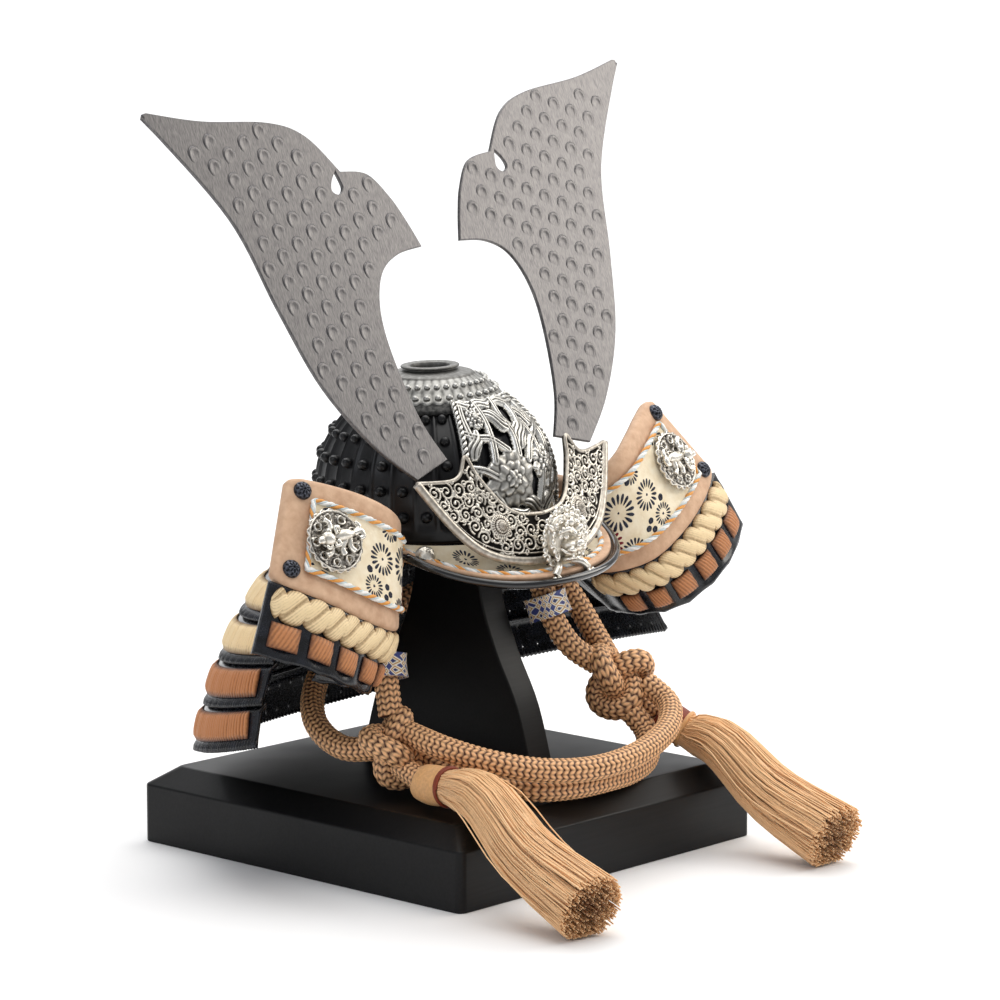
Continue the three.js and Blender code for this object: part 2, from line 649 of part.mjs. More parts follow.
const panelSurface = drawnIn(panelPlane, 0.08, 0.92);
const halfPanel = PANEL.thickness / 2;
const turnback = sheet(panelSurface, 14, 1, -halfPanel, halfPanel);
const printHeight = halfPanel + 1.5 * GAP;
const turnbackPrint = sheet(panelPlane, 12, 1, printHeight, printHeight + PANEL.print,
  { fromU: 0.06, toU: 0.9, fromV: 0.2, toV: 0.8 });

// A frame of axes on a surface: across, up and outward.
function mountOn(geometry, surface, u, v, height) {
  const outward = normalAt(surface, u, v);
  const across = surface(u + 0.01, v).sub(surface(u - 0.01, v)).normalize();
  const up = outward.clone().cross(across);
  geometry.applyMatrix4(new THREE.Matrix4().makeBasis(across, up, outward));
  const place = lifted(surface, u, v, height);
  return geometry.translate(place.x, place.y, place.z);
}

function ellipseHole(x, y, wide, high) {
  const hole = new THREE.Path();
  hole.absellipse(x, y, wide, high, 0, TURN, true);
  return hole;
}

// A round pierced disc with a cast lion curled across it.
function medallion() {
  const { radius, thickness, holes } = MEDALLION;
  const disc = new THREE.Shape();
  disc.setFromPoints(regularShape(radius, 18).getPoints());
  for (let i = 0; i < holes; i += 1) {
    const angle = TURN * i / holes;
    disc.holes.push(ellipseHole(6.6 * Math.cos(angle), 6.6 * Math.sin(angle), 1.25, 1.25));
  }
  const plate = new THREE.ExtrudeGeometry(disc, { depth: thickness, bevelEnabled: false, curveSegments: 2 });
  const beast = [
    lump([-1.5, 1.5, thickness + 0.4], [4.6, 2, 1.5], 0, [0, 0, -28]),
    lump([4, -1.5, thickness + 0.9], [2.5, 2.3, 2], 0),
    lump([-5.6, 3.6, thickness + 0.3], [2.4, 1.3, 1.1], 0, [0, 0, 40]),
    lump([-0.6, -3, thickness + 0.3], [1.5, 2.6, 1], 0, [0, 0, 20]),
    lump([2, 4.6, thickness + 0.2], [2.6, 1.2, 0.9], 0, [0, 0, -30]),
  ];
  return mountOn(fuse([plate, ...beast]), panelSurface, 0.82, 0.5, printHeight + PANEL.print + 1);
}

function boss(u, v) {
  const profile = [[0, 0], [2.7, 0], [2.4, 1.4], [0, 2.4]];
  const stud = new THREE.LatheGeometry(profile.map(([r, h]) => new THREE.Vector2(r, h)), 8).rotateX(TURN / 4);
  return mountOn(stud, panelSurface, u, v, printHeight);
}

function ropeLacing() {
  const { ropeTurns, thickness } = LACED_PLATE;
  const high = (i) => thickness / 2 + GAP + (i % 2 ? 2.5 : 1.5);
  return sheet(lowerPlane, 2 * ropeTurns, 1, thickness / 2 + GAP, high, { fromU: 0.2, toU: 0.975, fromV: 0.62, toV: 0.89 });
}

function squareLacing() {
  const { bundles, thickness } = LACED_PLATE;
  const columns = bundles * 3;
  const high = (i) => thickness / 2 + GAP + (i % 3 === 0 ? 0.4 : 1.9);
  return sheet(lowerPlane, columns, 1, thickness / 2 + GAP, high, { fromU: 0.26, toU: 0.985, fromV: 0.16, toV: 0.5 });
}

const lacedPlate = sheet(lowerPlane, 12, 1, -LACED_PLATE.thickness / 2, LACED_PLATE.thickness / 2,
  { toV: 0.92 });

addPair('turnback', turnback, MATERIAL.tanLeather);
addPair('turnback_print', turnbackPrint, MATERIAL.printedLeather);
addPair('medallion', medallion(), MATERIAL.antiqueSilver);
addPair('boss_upper', boss(0.94, 0.87), MATERIAL.lacquer);
addPair('boss_lower', boss(0.945, 0.16), MATERIAL.lacquer);
addPair('laced_plate', lacedPlate, MATERIAL.lacquer);
addPair('rope_lacing', ropeLacing(), MATERIAL.creamLacing);
addPair('square_lacing', squareLacing(), MATERIAL.brownLacing);

// ---------------------------------------------------------------- neck guard

function neckEdgePoint(edge, u) {
  const depth = edge.rearY - edge.centreY;
  const start = Math.asin((edge.frontY - edge.centreY) / depth);
  const angle = Math.PI - start + (2 * start - Math.PI) * u;
  const share = (Math.sin(angle) * depth + edge.centreY - edge.frontY) / (edge.rearY - edge.frontY);
  return point(
    edge.halfWidth * Math.cos(angle),
    edge.centreY + depth * Math.sin(angle),
    THREE.MathUtils.lerp(edge.sideZ, edge.rearZ, share),
  );
}

function neckRowSurface(row) {
  return (u, v) => neckEdgePoint(NECK_EDGES[row], u).lerp(neckEdgePoint(NECK_EDGES[row + 1], u), v);
}

for (let row = 0; row + 1 < NECK_EDGES.length; row += 1) {
  const surface = neckRowSurface(row);
  const half = NECK.thickness / 2;
  const outward = normalAt(surface, 0.5, 0.5).y > 0 ? 1 : -1;
  const facing = (height) => outward * height;
  const wall = sheet(surface, 18, 1, facing(-half), facing(half), { fromV: 0.035, toV: 0.965 });
  const bundle = (i) => facing(half + GAP + NECK.lacing + (i % 2 ? NECK.bundleDepth : 0));
  const lacing = sheet(surface, 2 * NECK.bundles, 1, facing(half + GAP), bundle,
    { fromU: 0.015, toU: 0.985, fromV: row === 0 ? 0.45 : 0.08, toV: 0.76 });
  addPiece(helmet, `neck_row_${row + 1}`, wall, MATERIAL.lacquer);
  addPiece(helmet, `neck_lacing_${row + 1}`, lacing, row < 3 ? MATERIAL.creamLacing : MATERIAL.brownLacing);
}

// ---------------------------------------------------------------- chin cord, knots and tassels

const KNOT = { steps: 18, sides: 6 };

// A tight overhand knot: one closed bight of cord crossing itself three times, filled at its heart.
// Each stretch between two steps is a convex piece of its own, so the crossings join cleanly.
function knot({ centre, turn }, room = 0) {
  class Bight extends THREE.Curve {
    getPoint(t, target = point()) {
      const angle = TURN * t;
      return target.set(
        3.1 * (Math.sin(angle) + 2 * Math.sin(2 * angle)),
        3.1 * (Math.cos(angle) - 2 * Math.cos(2 * angle)),
        -3.9 * Math.sin(3 * angle),
      );
    }
  }
  const bight = new THREE.TubeGeometry(new Bight(), KNOT.steps, CORD_RADIUS + room, KNOT.sides, true);
  const place = bight.attributes.position;
  const ring = (step) => Array.from({ length: KNOT.sides }, (_, i) => (
    new THREE.Vector3().fromBufferAttribute(place, step * (KNOT.sides + 1) + i).toArray()
  ));
  let body = toSolid(lump([0, 0, 0], [8 + room, 8 + room, 4 + room]));
  for (let step = 0; step < KNOT.steps; step += 1) {
    body = body.add(wasm.Manifold.hull([...ring(step), ...ring(step + 1)]));
  }
  const whole = toGeometry(body);
  whole.rotateX(turn[0] * DEGREE).rotateY(turn[1] * DEGREE).rotateZ(turn[2] * DEGREE);
  return whole.translate(...centre);
}

const KNOTS = {
  left: { centre: [32.5, -40, 50], turn: [75, 20, -20] },
  right: { centre: [-44.5, -20.5, 38.2], turn: [70, -15, 25] },
};
const knotSpace = Object.values(KNOTS).map((place) => knot(place, 0.4));

// The route of each free stretch of the chin cord.
const CORDS = {
  chin_cord_left_front: [[12.5, -11, 103], [13.6, -15.6, 94], [16.5, -22.5, 80], [18, -26.5, 69],
    [21, -31.5, 60.5], [27, -36.5, 55]],
  chin_cord_left_rear: [[25, -6, 103], [25.8, -7.8, 94], [31, -14, 82], [35, -21, 71], [35.5, -28, 62],
    [34.5, -35, 55]],
  chin_cord_right_front: [[-25.6, -3, 103], [-27, -4.2, 93.5], [-34, -7, 84], [-38.2, -10, 73],
    [-41.5, -14, 59], [-43.5, -18, 47]],
  chin_cord_rear: [[26.4, 9, 103], [26, 8.8, 93.5], [22, 10.5, 84], [13.5, 19.5, 74.5], [0, 27, 67],
    [-18, 28, 59], [-36, 21, 49], [-47, 9, 41], [-49, -4, 36.5], [-46, -16, 37.5]],
  chin_cord_bight: [[-43.5, -25, 43], [-42.3, -40, 40], [-36.5, -53, 37], [-26.4, -61.6, 34.6],
    [-13.5, -68, 33.8], [1, -70, 34.6], [19, -67, 37], [31.5, -61.5, 40.2], [38, -55, 44], [37.5, -47, 49]],
  chin_cord_under_bight: [[-38, -22, 37], [-33, -33, 32], [-28, -45, 28.6], [-22.8, -56, 27.5],
    [-13.4, -60.5, 27.2], [0, -62, 27.2], [17, -60, 27.4], [29, -55, 29.5], [33.5, -50.5, 35], [31.5, -46, 41]],
};

function cordBody(places) {
  const curve = along(places);
  const steps = Math.ceil(curve.getLength() / (4 * CORD_RADIUS));
  const body = new THREE.ExtrudeGeometry(regularShape(CORD_RADIUS, 8), { steps, extrudePath: curve });
  return largestBody(cut(body, knotSpace));
}

// A tassel: its short stem from the knot, the wound head, and a skirt of locks.
function tassel(places, stemSteps) {
  const curve = along(places);
  const frames = curve.computeFrenetFrames(12, false);
  const sections = [
    [0, 3.5, 0], [stemSteps, 3.5, 0], [stemSteps + 0.6, TASSEL.neckRadius, 0], [4.4, TASSEL.neckRadius, 0],
    [4.6, TASSEL.neckRadius - 0.7, 0], [5.4, 6.9, 0.3], [7.5, 8, 0.7], [9.7, 9.4, 1], [12, TASSEL.tipRadius, 1.3],
  ];
  const rings = sections.map(([step, radius, groove]) => {
    const centre = curve.getPoint(step / 12);
    const side = frames.binormals[Math.round(step)];
    const up = frames.normals[Math.round(step)];
    return Array.from({ length: 2 * TASSEL.locks }, (_, i) => {
      const angle = TURN * i / (2 * TASSEL.locks);
      const reach = radius - (i % 2 ? groove : 0);
      const spot = centre.clone()
        .addScaledVector(side, reach * Math.cos(angle))
        .addScaledVector(up, reach * Math.sin(angle));
      spot.z = Math.max(spot.z, GAP);
      return spot;
    });
  });
  return largestBody(cut(loft(rings), knotSpace));
}

const TASSEL_ROUTES = {
  tassel_right: [[-47, -25, 34], [-49, -38, 31], [-50.5, -50, 31.6], [-53, -64, 30.8], [-57, -85, 18], [-61, -112, 8.5]],
  tassel_left: [[40, -39, 45], [47, -44.5, 37.5], [51.5, -53, 32.4], [52, -65, 30.2], [51, -85, 18], [50, -111, 8.5]],
};

// A short tape of brocade sewn into a loop round the cord.
function brocadeLoop(places, share) {
  const curve = along(places);
  const loop = roundedRectangle(13, 10.6, 3.5);
  loop.holes.push(new THREE.Path(roundedRectangle(11, 8.6, 2.5).getPoints(1)));
  const tape = new THREE.ExtrudeGeometry(loop, { depth: 7, bevelEnabled: false, curveSegments: 1 });
  tape.translate(0, 0, -3.5);
  const tangent = curve.getTangentAt(share);
  tape.applyQuaternion(new THREE.Quaternion().setFromUnitVectors(point(0, 0, -1), tangent));
  return tape.translate(...curve.getPointAt(share).toArray());
}

for (const [name, places] of Object.entries(CORDS)) {
  addPiece(part, name, cordBody(places), MATERIAL.copperCord);
}
addPiece(part, 'knot_left', knot(KNOTS.left), MATERIAL.copperCord);
addPiece(part, 'knot_right', knot(KNOTS.right), MATERIAL.copperCord);
for (const [name, places] of Object.entries(TASSEL_ROUTES)) {
  addPiece(part, name, tassel(places, 1.6), MATERIAL.copperCord);
}
addPiece(part, 'brocade_loop_left', brocadeLoop(CORDS.chin_cord_left_front, 0.585), MATERIAL.brocade);
addPiece(part, 'brocade_loop_right', brocadeLoop(CORDS.chin_cord_right_front, 0.762), MATERIAL.brocade);

export default part;
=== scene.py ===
"""Dresses the frame of a miniature display kabuto: lacquered and riveted bowl, embossed horns, chased
silver mounts, printed leather, silk lacing, a braided chin cord with tassels, and the black stand.
Lengths are written in millimetres, in the frame's own axes, and turned to metres as each mesh is made."""
import math

import bmesh
import bpy
import numpy as np
from mathutils import Matrix, Vector


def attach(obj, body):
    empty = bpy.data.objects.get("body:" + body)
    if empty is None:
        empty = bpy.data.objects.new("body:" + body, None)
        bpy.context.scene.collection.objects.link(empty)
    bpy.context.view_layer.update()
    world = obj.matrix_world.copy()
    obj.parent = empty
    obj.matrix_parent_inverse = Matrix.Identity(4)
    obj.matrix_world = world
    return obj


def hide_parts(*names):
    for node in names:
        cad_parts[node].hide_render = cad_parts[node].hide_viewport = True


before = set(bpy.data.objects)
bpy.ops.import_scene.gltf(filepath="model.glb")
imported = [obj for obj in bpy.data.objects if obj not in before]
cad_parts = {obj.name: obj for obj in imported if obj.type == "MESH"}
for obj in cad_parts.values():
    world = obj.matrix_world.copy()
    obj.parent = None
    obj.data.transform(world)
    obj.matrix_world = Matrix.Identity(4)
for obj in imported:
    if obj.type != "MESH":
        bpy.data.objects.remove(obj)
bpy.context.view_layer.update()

MM = 0.001
TURN = 2 * math.pi
DEGREE = math.pi / 180
RANDOM = np.random.default_rng(7)

# The helmet's own dimensions, as in the part's source.
HELMET_TILT = -2.9 * DEGREE
HELMET_PIVOT = 100
BOWL_Y, BOWL_RADIUS, BOWL_CROWN, SPRING_Z, RIM_Z, BOWL_WALL = 5, 35, 30.8, 110, 97, 2
BOWL_PLATES, SEAM, CROWN_HOLE = 32, 0.9, 5.8
BOWL_ARC = (BOWL_RADIUS + BOWL_CROWN) / 2
WALL_RISE = SPRING_Z - RIM_Z
CORD_RADIUS = 3.7

CORDS = {
    "chin_cord_left_front": [(12.5, -11, 103), (13.6, -15.6, 94), (16.5, -22.5, 80), (18, -26.5, 69),
                             (21, -31.5, 60.5), (27, -36.5, 55)],
    "chin_cord_left_rear": [(25, -6, 103), (25.8, -7.8, 94), (31, -14, 82), (35, -21, 71), (35.5, -28, 62),
                            (34.5, -35, 55)],
    "chin_cord_right_front": [(-25.6, -3, 103), (-27, -4.2, 93.5), (-34, -7, 84), (-38.2, -10, 73),
                              (-41.5, -14, 59), (-43.5, -18, 47)],
    "chin_cord_rear": [(26.4, 9, 103), (26, 8.8, 93.5), (22, 10.5, 84), (13.5, 19.5, 74.5), (0, 27, 67),
                       (-18, 28, 59), (-36, 21, 49), (-47, 9, 41), (-49, -4, 36.5), (-46, -16, 37.5)],
    "chin_cord_bight": [(-43.5, -25, 43), (-42.3, -40, 40), (-36.5, -53, 37), (-26.4, -61.6, 34.6),
                        (-13.5, -68, 33.8), (1, -70, 34.6), (19, -67, 37), (31.5, -61.5, 40.2), (38, -55, 44),
                        (37.5, -47, 49)],
    "chin_cord_under_bight": [(-38, -22, 37), (-33, -33, 32), (-28, -45, 28.6), (-22.8, -56, 27.5),
                              (-13.4, -60.5, 27.2), (0, -62, 27.2), (17, -60, 27.4), (29, -55, 29.5),
                              (33.5, -50.5, 35), (31.5, -46, 41)],
}
KNOTS = {"left": ((32.5, -40, 50), (75, 20, -20)), "right": ((-44.5, -20.5, 38.2), (70, -15, 25))}
TASSELS = {
    "right": [(-47, -25, 34), (-49, -38, 31), (-50.5, -50, 31.6), (-53, -64, 30.8), (-57, -85, 18),
              (-61, -112, 8.5)],
    "left": [(40, -39, 45), (47, -44.5, 37.5), (51.5, -53, 32.4), (52, -65, 30.2), (51, -85, 18),
             (50, -111, 8.5)],
}


SIDES = (("left", False), ("right", True))


def put(name, data):
    """A new object in the scene."""
    made = bpy.data.objects.new(name, data)
    bpy.context.scene.collection.objects.link(made)
    return made


# ---------------------------------------------------------------- camera

def place_camera():
    camera = put("camera", bpy.data.cameras.new("camera"))
    camera.location = (-0.8202, -0.7706, 0.2723)
    aim = Vector((0.0215, -0.0018, 0.102)) - camera.location
    camera.rotation_euler = aim.to_track_quat("-Z", "Y").to_euler()
    camera.data.lens = 136
    camera.data.clip_end = 20
    bpy.context.scene.camera = camera


place_camera()


# ---------------------------------------------------------------- curves

def route(points, count):
    """Centripetal Catmull-Rom through the points, as an array of count points."""
    known = np.array(points, float)
    known = np.vstack([2 * known[0] - known[1], known, 2 * known[-1] - known[-2]])
    places = []
    for share in np.linspace(0, len(points) - 1, count):
        step = min(int(share), len(points) - 2)
        a, b, c, d = known[step:step + 4]
        before, here, after = [max(np.linalg.norm(q - p), 1e-6) ** 0.5 for p, q in ((a, b), (b, c), (c, d))]
        start = ((b - a) / before - (c - a) / (before + here) + (c - b) / here) * here
        end = ((c - b) / here - (d - b) / (here + after) + (d - c) / after) * here
        t = share - step
        cubic = 2 * (b - c) + start + end
        places.append(b + start * t + (3 * (c - b) - 2 * start - end) * t ** 2 + cubic * t ** 3)
    return np.array(places)


def soft_line(points, per_span=8):
    """Uniform Catmull-Rom through flat points, for drawn outlines."""
    known = [np.array(p, float) for p in points]
    line = [known[0]]
    for i in range(len(known) - 1):
        a, b = known[max(i - 1, 0)], known[i]
        c, d = known[i + 1], known[min(i + 2, len(known) - 1)]
        for k in range(1, per_span + 1):
            t = k / per_span
            line.append(b + (c - a) / 2 * t + (2 * a - 5 * b + 4 * c - d) / 2 * t ** 2
                        + (3 * b - a - 3 * c + d) / 2 * t ** 3)
    return line


def run_along(points):
    """How far along the line each point lies."""
    return np.concatenate([[0], np.cumsum(np.linalg.norm(np.diff(points, axis=0), axis=1))])


def evenly(points, spacing):
    """The same line with points a fixed spacing apart, first and last kept."""
    points = np.asarray(points, float)
    run = run_along(points)
    stops = np.linspace(0, run[-1], max(2, round(run[-1] / spacing) + 1))
    return np.stack([np.interp(stops, run, points[:, k]) for k in range(points.shape[1])], axis=1)


def length_of(points):
    return float(np.linalg.norm(np.diff(points, axis=0), axis=1).sum())


def read_off(profile, places):
    """Values of a profile, a list of places and values, at other places."""
    return np.interp(places, *np.array(profile).T)


def frames_along(points, closed=False):
    """Tangent and two crossways directions at each point, without needless twist."""
    points = np.asarray(points, float)
    if closed:
        tangents = np.roll(points, -1, 0) - np.roll(points, 1, 0)
    else:
        tangents = np.gradient(points, axis=0)
    tangents /= np.linalg.norm(tangents, axis=1, keepdims=True)
    side = np.cross(tangents[0], (0, 0, 1) if abs(tangents[0][2]) < 0.9 else (1, 0, 0))
    sides = []
    for tangent in tangents:
        side = side - tangent * side.dot(tangent)
        side /= np.linalg.norm(side)
        sides.append(side)
    sides = np.array(sides)
    if closed:
        last = sides[-1] - tangents[0] * sides[-1].dot(tangents[0])
        last /= np.linalg.norm(last)
        twist = math.atan2(np.cross(last, sides[0]).dot(tangents[0]), last.dot(sides[0]))
        ups = np.cross(tangents, sides)
        turn = np.linspace(0, twist, len(points))[:, None]
        sides = sides * np.cos(turn) + ups * np.sin(turn)
    return tangents, sides, np.cross(tangents, sides)


# ---------------------------------------------------------------- surfaces of the helmet

def unit(vectors):
    return vectors / np.maximum(np.linalg.norm(vectors, axis=-1, keepdims=True), 1e-9)


class Patch:
    """A sampled surface: places on it are asked for by u and v from 0 to 1 and a height over it."""

    def __init__(self, surface, across=60, down=20):
        self.points = np.array([[surface(u, v) for u in np.linspace(0, 1, across + 1)]
                                for v in np.linspace(0, 1, down + 1)])
        along_u = np.gradient(self.points, axis=1)
        along_v = np.gradient(self.points, axis=0)
        self.normals = unit(np.cross(along_u, along_v))
        middle_row, middle_column = self.points[down // 2], self.points[:, across // 2]
        self.width, self.height = length_of(middle_row), length_of(middle_column)

    def at(self, u, v, height=0.0):
        rows, columns = self.points.shape[0] - 1, self.points.shape[1] - 1
        x, y = np.asarray(u, float) * columns, np.asarray(v, float) * rows
        i = np.clip(np.floor(x).astype(int), 0, columns - 1)
        j = np.clip(np.floor(y).astype(int), 0, rows - 1)
        fx, fy = (x - i)[..., None], (y - j)[..., None]

        def blend(field):
            low = field[j, i] * (1 - fx) + field[j, i + 1] * fx
            high = field[j + 1, i] * (1 - fx) + field[j + 1, i + 1] * fx
            return low * (1 - fy) + high * fy

        return blend(self.points) + unit(blend(self.normals)) * np.asarray(height, float)[..., None]


def bowl_at(azimuth, run, height=0.0):
    """Azimuth from the front toward the wearer's left, run up the bowl from its rim."""
    azimuth, run, height = np.broadcast_arrays(*[np.asarray(a, float) for a in (azimuth, run, height)])
    angle = np.maximum(0, (run - WALL_RISE) / BOWL_ARC)
    out, up = np.cos(angle) * BOWL_CROWN, np.sin(angle) * BOWL_RADIUS
    size = np.hypot(out, up)
    radius = BOWL_RADIUS * np.cos(angle) + height * out / size
    z = RIM_Z + np.minimum(run, WALL_RISE) + BOWL_CROWN * np.sin(angle) + height * up / size
    return np.stack([radius * np.sin(azimuth), BOWL_Y - radius * np.cos(azimuth), z], axis=-1)


def visor_point(u, v):
    angle = (1 - 2 * u) * 80 * DEGREE
    inner = np.array([36.7 * math.sin(angle), BOWL_Y - 36.7 * math.cos(angle), 97])
    rise = 12.5 * (abs(angle) / (TURN / 4)) ** 2.2
    rim = np.array([math.copysign(abs(math.sin(angle)) ** 0.88, angle) * 40.5,
                    -13 - 38 * math.cos(angle) ** 0.88, 86.3 + rise])
    spot = inner + (rim - inner) * v
    spot[2] = rim[2] + (97 - rim[2]) * max(0, 1 - v) ** 3
    return spot


def stand_point(x, z, height=0.0):
    """The leaning, swept-back face of the horn stand."""
    x, z, height = np.broadcast_arrays(*[np.asarray(a, float) for a in (x, z, height)])
    y = -44 + 0.36 * (z - 87) + 0.18 * (np.hypot(x, 8) - 8)
    outward = unit(np.stack([0.18 * x / np.hypot(x, 8), -np.ones_like(x), np.full_like(x, 0.36)], axis=-1))
    return np.stack([x, y, z], axis=-1) + outward * height[..., None]


PANEL_TOP = route([(46, -3, 105), (43.5, -12, 105.5), (44, -21, 107.5), (50, -24, 112.5), (58, -22, 117.3),
                   (67, -18, 121.3), (79, -12.5, 125.5)], 121)
PANEL_FOOT = route([(48, -3, 75), (46.5, -12, 75), (50, -24, 76), (59, -30, 78.5), (71.6, -31.3, 84.5),
                    (84, -29.5, 91.5), (98, -23.5, 99)], 121)
PLATE_FOOT = route([(65, -5, 61.5), (61, -13, 60.5), (63, -24, 60.5), (70, -31.5, 62.3), (82, -35, 68),
                    (94, -33.5, 74.5), (108.3, -26, 80.8)], 121)


def between(low_edge, high_edge, inset=0.0, start=0.92):
    def surface(u, v):
        low, high = [np.array([np.interp(u * 120, np.arange(121), edge[:, k]) for k in range(3)])
                     for edge in (low_edge, high_edge)]
        past = max(0, (u - start) / (1 - start))
        drawn = inset * (1 - math.sqrt(max(0, 1 - past * past)))
        return low + (high - low) * (drawn + v * (1 - 2 * drawn))
    return surface


NECK_EDGES = [
    (38.5, 5, 43.5, 95, 94, -1), (57, 2, 50.5, 88, 84, -1), (70, 0, 55, 79, 72.5, -2),
    (79.5, -2, 58.5, 69, 59, -4), (86.5, -3, 61.5, 58.5, 45, -6), (91.5, -4, 63.5, 47.7, 30.5, -8),
]


def neck_edge(edge, u):
    half_width, centre_y, rear_y, side_z, rear_z, front_y = edge
    depth = rear_y - centre_y
    start = math.asin((front_y - centre_y) / depth)
    angle = math.pi - start + (2 * start - math.pi) * u
    y = centre_y + depth * math.sin(angle)
    share = (y - front_y) / (rear_y - front_y)
    return np.array([half_width * math.cos(angle), y, side_z + (rear_z - side_z) * share])


def neck_surface(row):
    return lambda u, v: neck_edge(NECK_EDGES[row], u) * (1 - v) + neck_edge(NECK_EDGES[row + 1], u) * v


visor_patch = Patch(visor_point, 80, 24)
panel_patch = Patch(between(PANEL_FOOT, PANEL_TOP, 0.08), 90, 16)
print_patch = Patch(between(PANEL_FOOT, PANEL_TOP), 90, 16)
lower_patch = Patch(between(PLATE_FOOT, PANEL_FOOT), 90, 12)


# ---------------------------------------------------------------- colour and materials

def linear(code):
    """An sRGB hex value as linear red, green, blue and alpha."""
    parts = [int(code[i:i + 2], 16) / 255 for i in (1, 3, 5)]
    return [p / 12.92 if p <= 0.04045 else ((p + 0.055) / 1.055) ** 2.4 for p in parts] + [1.0]


def add(tree, kind, links=None, to=None, stops=(), **settings):
    """Adds a node with its settings. Links give an input a value, an output, or a node for its first output;
    to is the input that it feeds, and stops are a ramp's places and colours."""
    node = tree.nodes.new(kind)
    for name, value in settings.items():
        setattr(node, name, value)
    for name, value in (links or {}).items():
        if isinstance(value, bpy.types.Node):
            value = value.outputs[0]
        if isinstance(value, bpy.types.NodeSocket):
            tree.links.new(value, node.inputs[name])
        else:
            node.inputs[name].default_value = value
    for index, (where, code) in enumerate(stops):
        element = node.color_ramp.elements[index] if index < 2 else node.color_ramp.elements.new(where)
        element.position = where
        element.color = linear(code)
    if to is not None:
        tree.links.new(node.outputs[0], to)
    return node


def material(name, shader):
    """A material: its tree, its shader's inputs, and object coordinates in millimetres."""
    made = bpy.data.materials.new(name)
    made.use_nodes = True
    tree = made.node_tree
    tree.nodes.clear()
    surface = add(tree, "ShaderNodeBsdfPrincipled", shader)
    add(tree, "ShaderNodeOutputMaterial", {"Surface": surface})
    where = add(tree, "ShaderNodeTexCoord").outputs["Object"]
    place = add(tree, "ShaderNodeMapping", {"Vector": where, "Scale": (1 / MM, 1 / MM, 1 / MM)})
    return made, tree, surface.inputs, place


def satin_black_wood():
    """Sprayed black on close-grained wood: a soft satin, with a trace of long grain under the paint."""
    made, tree, shader, place = material("satin_black_wood", {"Specular IOR Level": 0.22})
    along = add(tree, "ShaderNodeMapping", {"Vector": place, "Scale": (0.05, 1.2, 1.2)})
    grain = add(tree, "ShaderNodeTexNoise", {"Vector": along, "Scale": 1.0, "Detail": 5.0})
    add(tree, "ShaderNodeValToRGB", {"Fac": grain}, shader["Base Color"],
        [(0.3, "#0b0b0c"), (0.7, "#131314")])
    smear = add(tree, "ShaderNodeTexNoise", {"Vector": place, "Scale": 0.04})
    add(tree, "ShaderNodeMapRange", {"Value": smear, "To Min": 0.36, "To Max": 0.5}, shader["Roughness"])
    add(tree, "ShaderNodeBump", {"Height": grain, "Distance": 0.03 * MM, "Strength": 0.4}, shader["Normal"])
    return made


def black_lacquer(name, high, roughness, gloss):
    """Black urushi lacquer on metal: deep and glossy, with a faint blue reflection of the sky painted into its
    colour in soft clouds.
    """
    made, tree, shader, place = material(name, {"Coat Weight": gloss, "Coat Roughness": 0.12,
                                                "Specular IOR Level": 0.3})
    cloud = add(tree, "ShaderNodeTexNoise", {"Vector": place, "Scale": 0.3})
    # The high tone is a painted reflection of the sky, laid in soft random clouds over the black.
    add(tree, "ShaderNodeValToRGB", {"Fac": cloud}, shader["Base Color"], [(0.35, "#0b0b0d"), (0.75, high)])
    fine = add(tree, "ShaderNodeTexNoise", {"Vector": place, "Scale": 2.0})
    add(tree, "ShaderNodeMapRange", {"Value": fine, "To Min": roughness - 0.05, "To Max": roughness + 0.1},
        shader["Roughness"])
    add(tree, "ShaderNodeBump", {"Height": fine, "Distance": 0.02 * MM, "Strength": 0.4}, shader["Normal"])
    return made


def chased_metal(name, low, middle, high, roughness):
    """Cast and chased white metal, darkened and wiped: black in the ground, bright on the high points."""
    made, tree, shader, place = material(name, {"Metallic": 0.9})
    relief = add(tree, "ShaderNodeAttribute", attribute_name="relief").outputs["Fac"]
    cloud = add(tree, "ShaderNodeTexNoise", {"Vector": place, "Scale": 0.8, "Detail": 4.0})
    worn = add(tree, "ShaderNodeMath", {0: cloud, 1: 0.4, 2: relief}, operation="MULTIPLY_ADD")
    worn = add(tree, "ShaderNodeMath", {0: worn, 1: 0.2}, operation="SUBTRACT")
    add(tree, "ShaderNodeValToRGB", {"Fac": worn}, shader["Base Color"],
        [(0.15, low), (0.5, middle), (0.85, high)])
    add(tree, "ShaderNodeMapRange", {"Value": worn, "To Min": roughness + 0.3, "To Max": roughness - 0.05},
        shader["Roughness"])
    fine = add(tree, "ShaderNodeTexNoise", {"Vector": place, "Scale": 4.0})
    add(tree, "ShaderNodeBump", {"Height": fine, "Distance": 0.03 * MM, "Strength": 0.4}, shader["Normal"])
    return made


def stamped_steel():
    """Thin stamped sheet with a grey silver finish and a fine sanded grain down its length."""
    made, tree, shader, place = material("stamped_horn_metal", {"Metallic": 1.0})
    along = add(tree, "ShaderNodeMapping", {"Vector": place, "Scale": (3.2, 0.5, 0.5)})
    grain = add(tree, "ShaderNodeTexNoise", {"Vector": along, "Scale": 1.0, "Detail": 6.0})
    add(tree, "ShaderNodeValToRGB", {"Fac": grain}, shader["Base Color"],
        [(0.3, "#575557"), (0.7, "#7b7978")])
    add(tree, "ShaderNodeMapRange", {"Value": grain, "To Min": 0.3, "To Max": 0.48}, shader["Roughness"])
    add(tree, "ShaderNodeBump", {"Height": grain, "Distance": 0.03 * MM, "Strength": 0.7}, shader["Normal"])
    return made


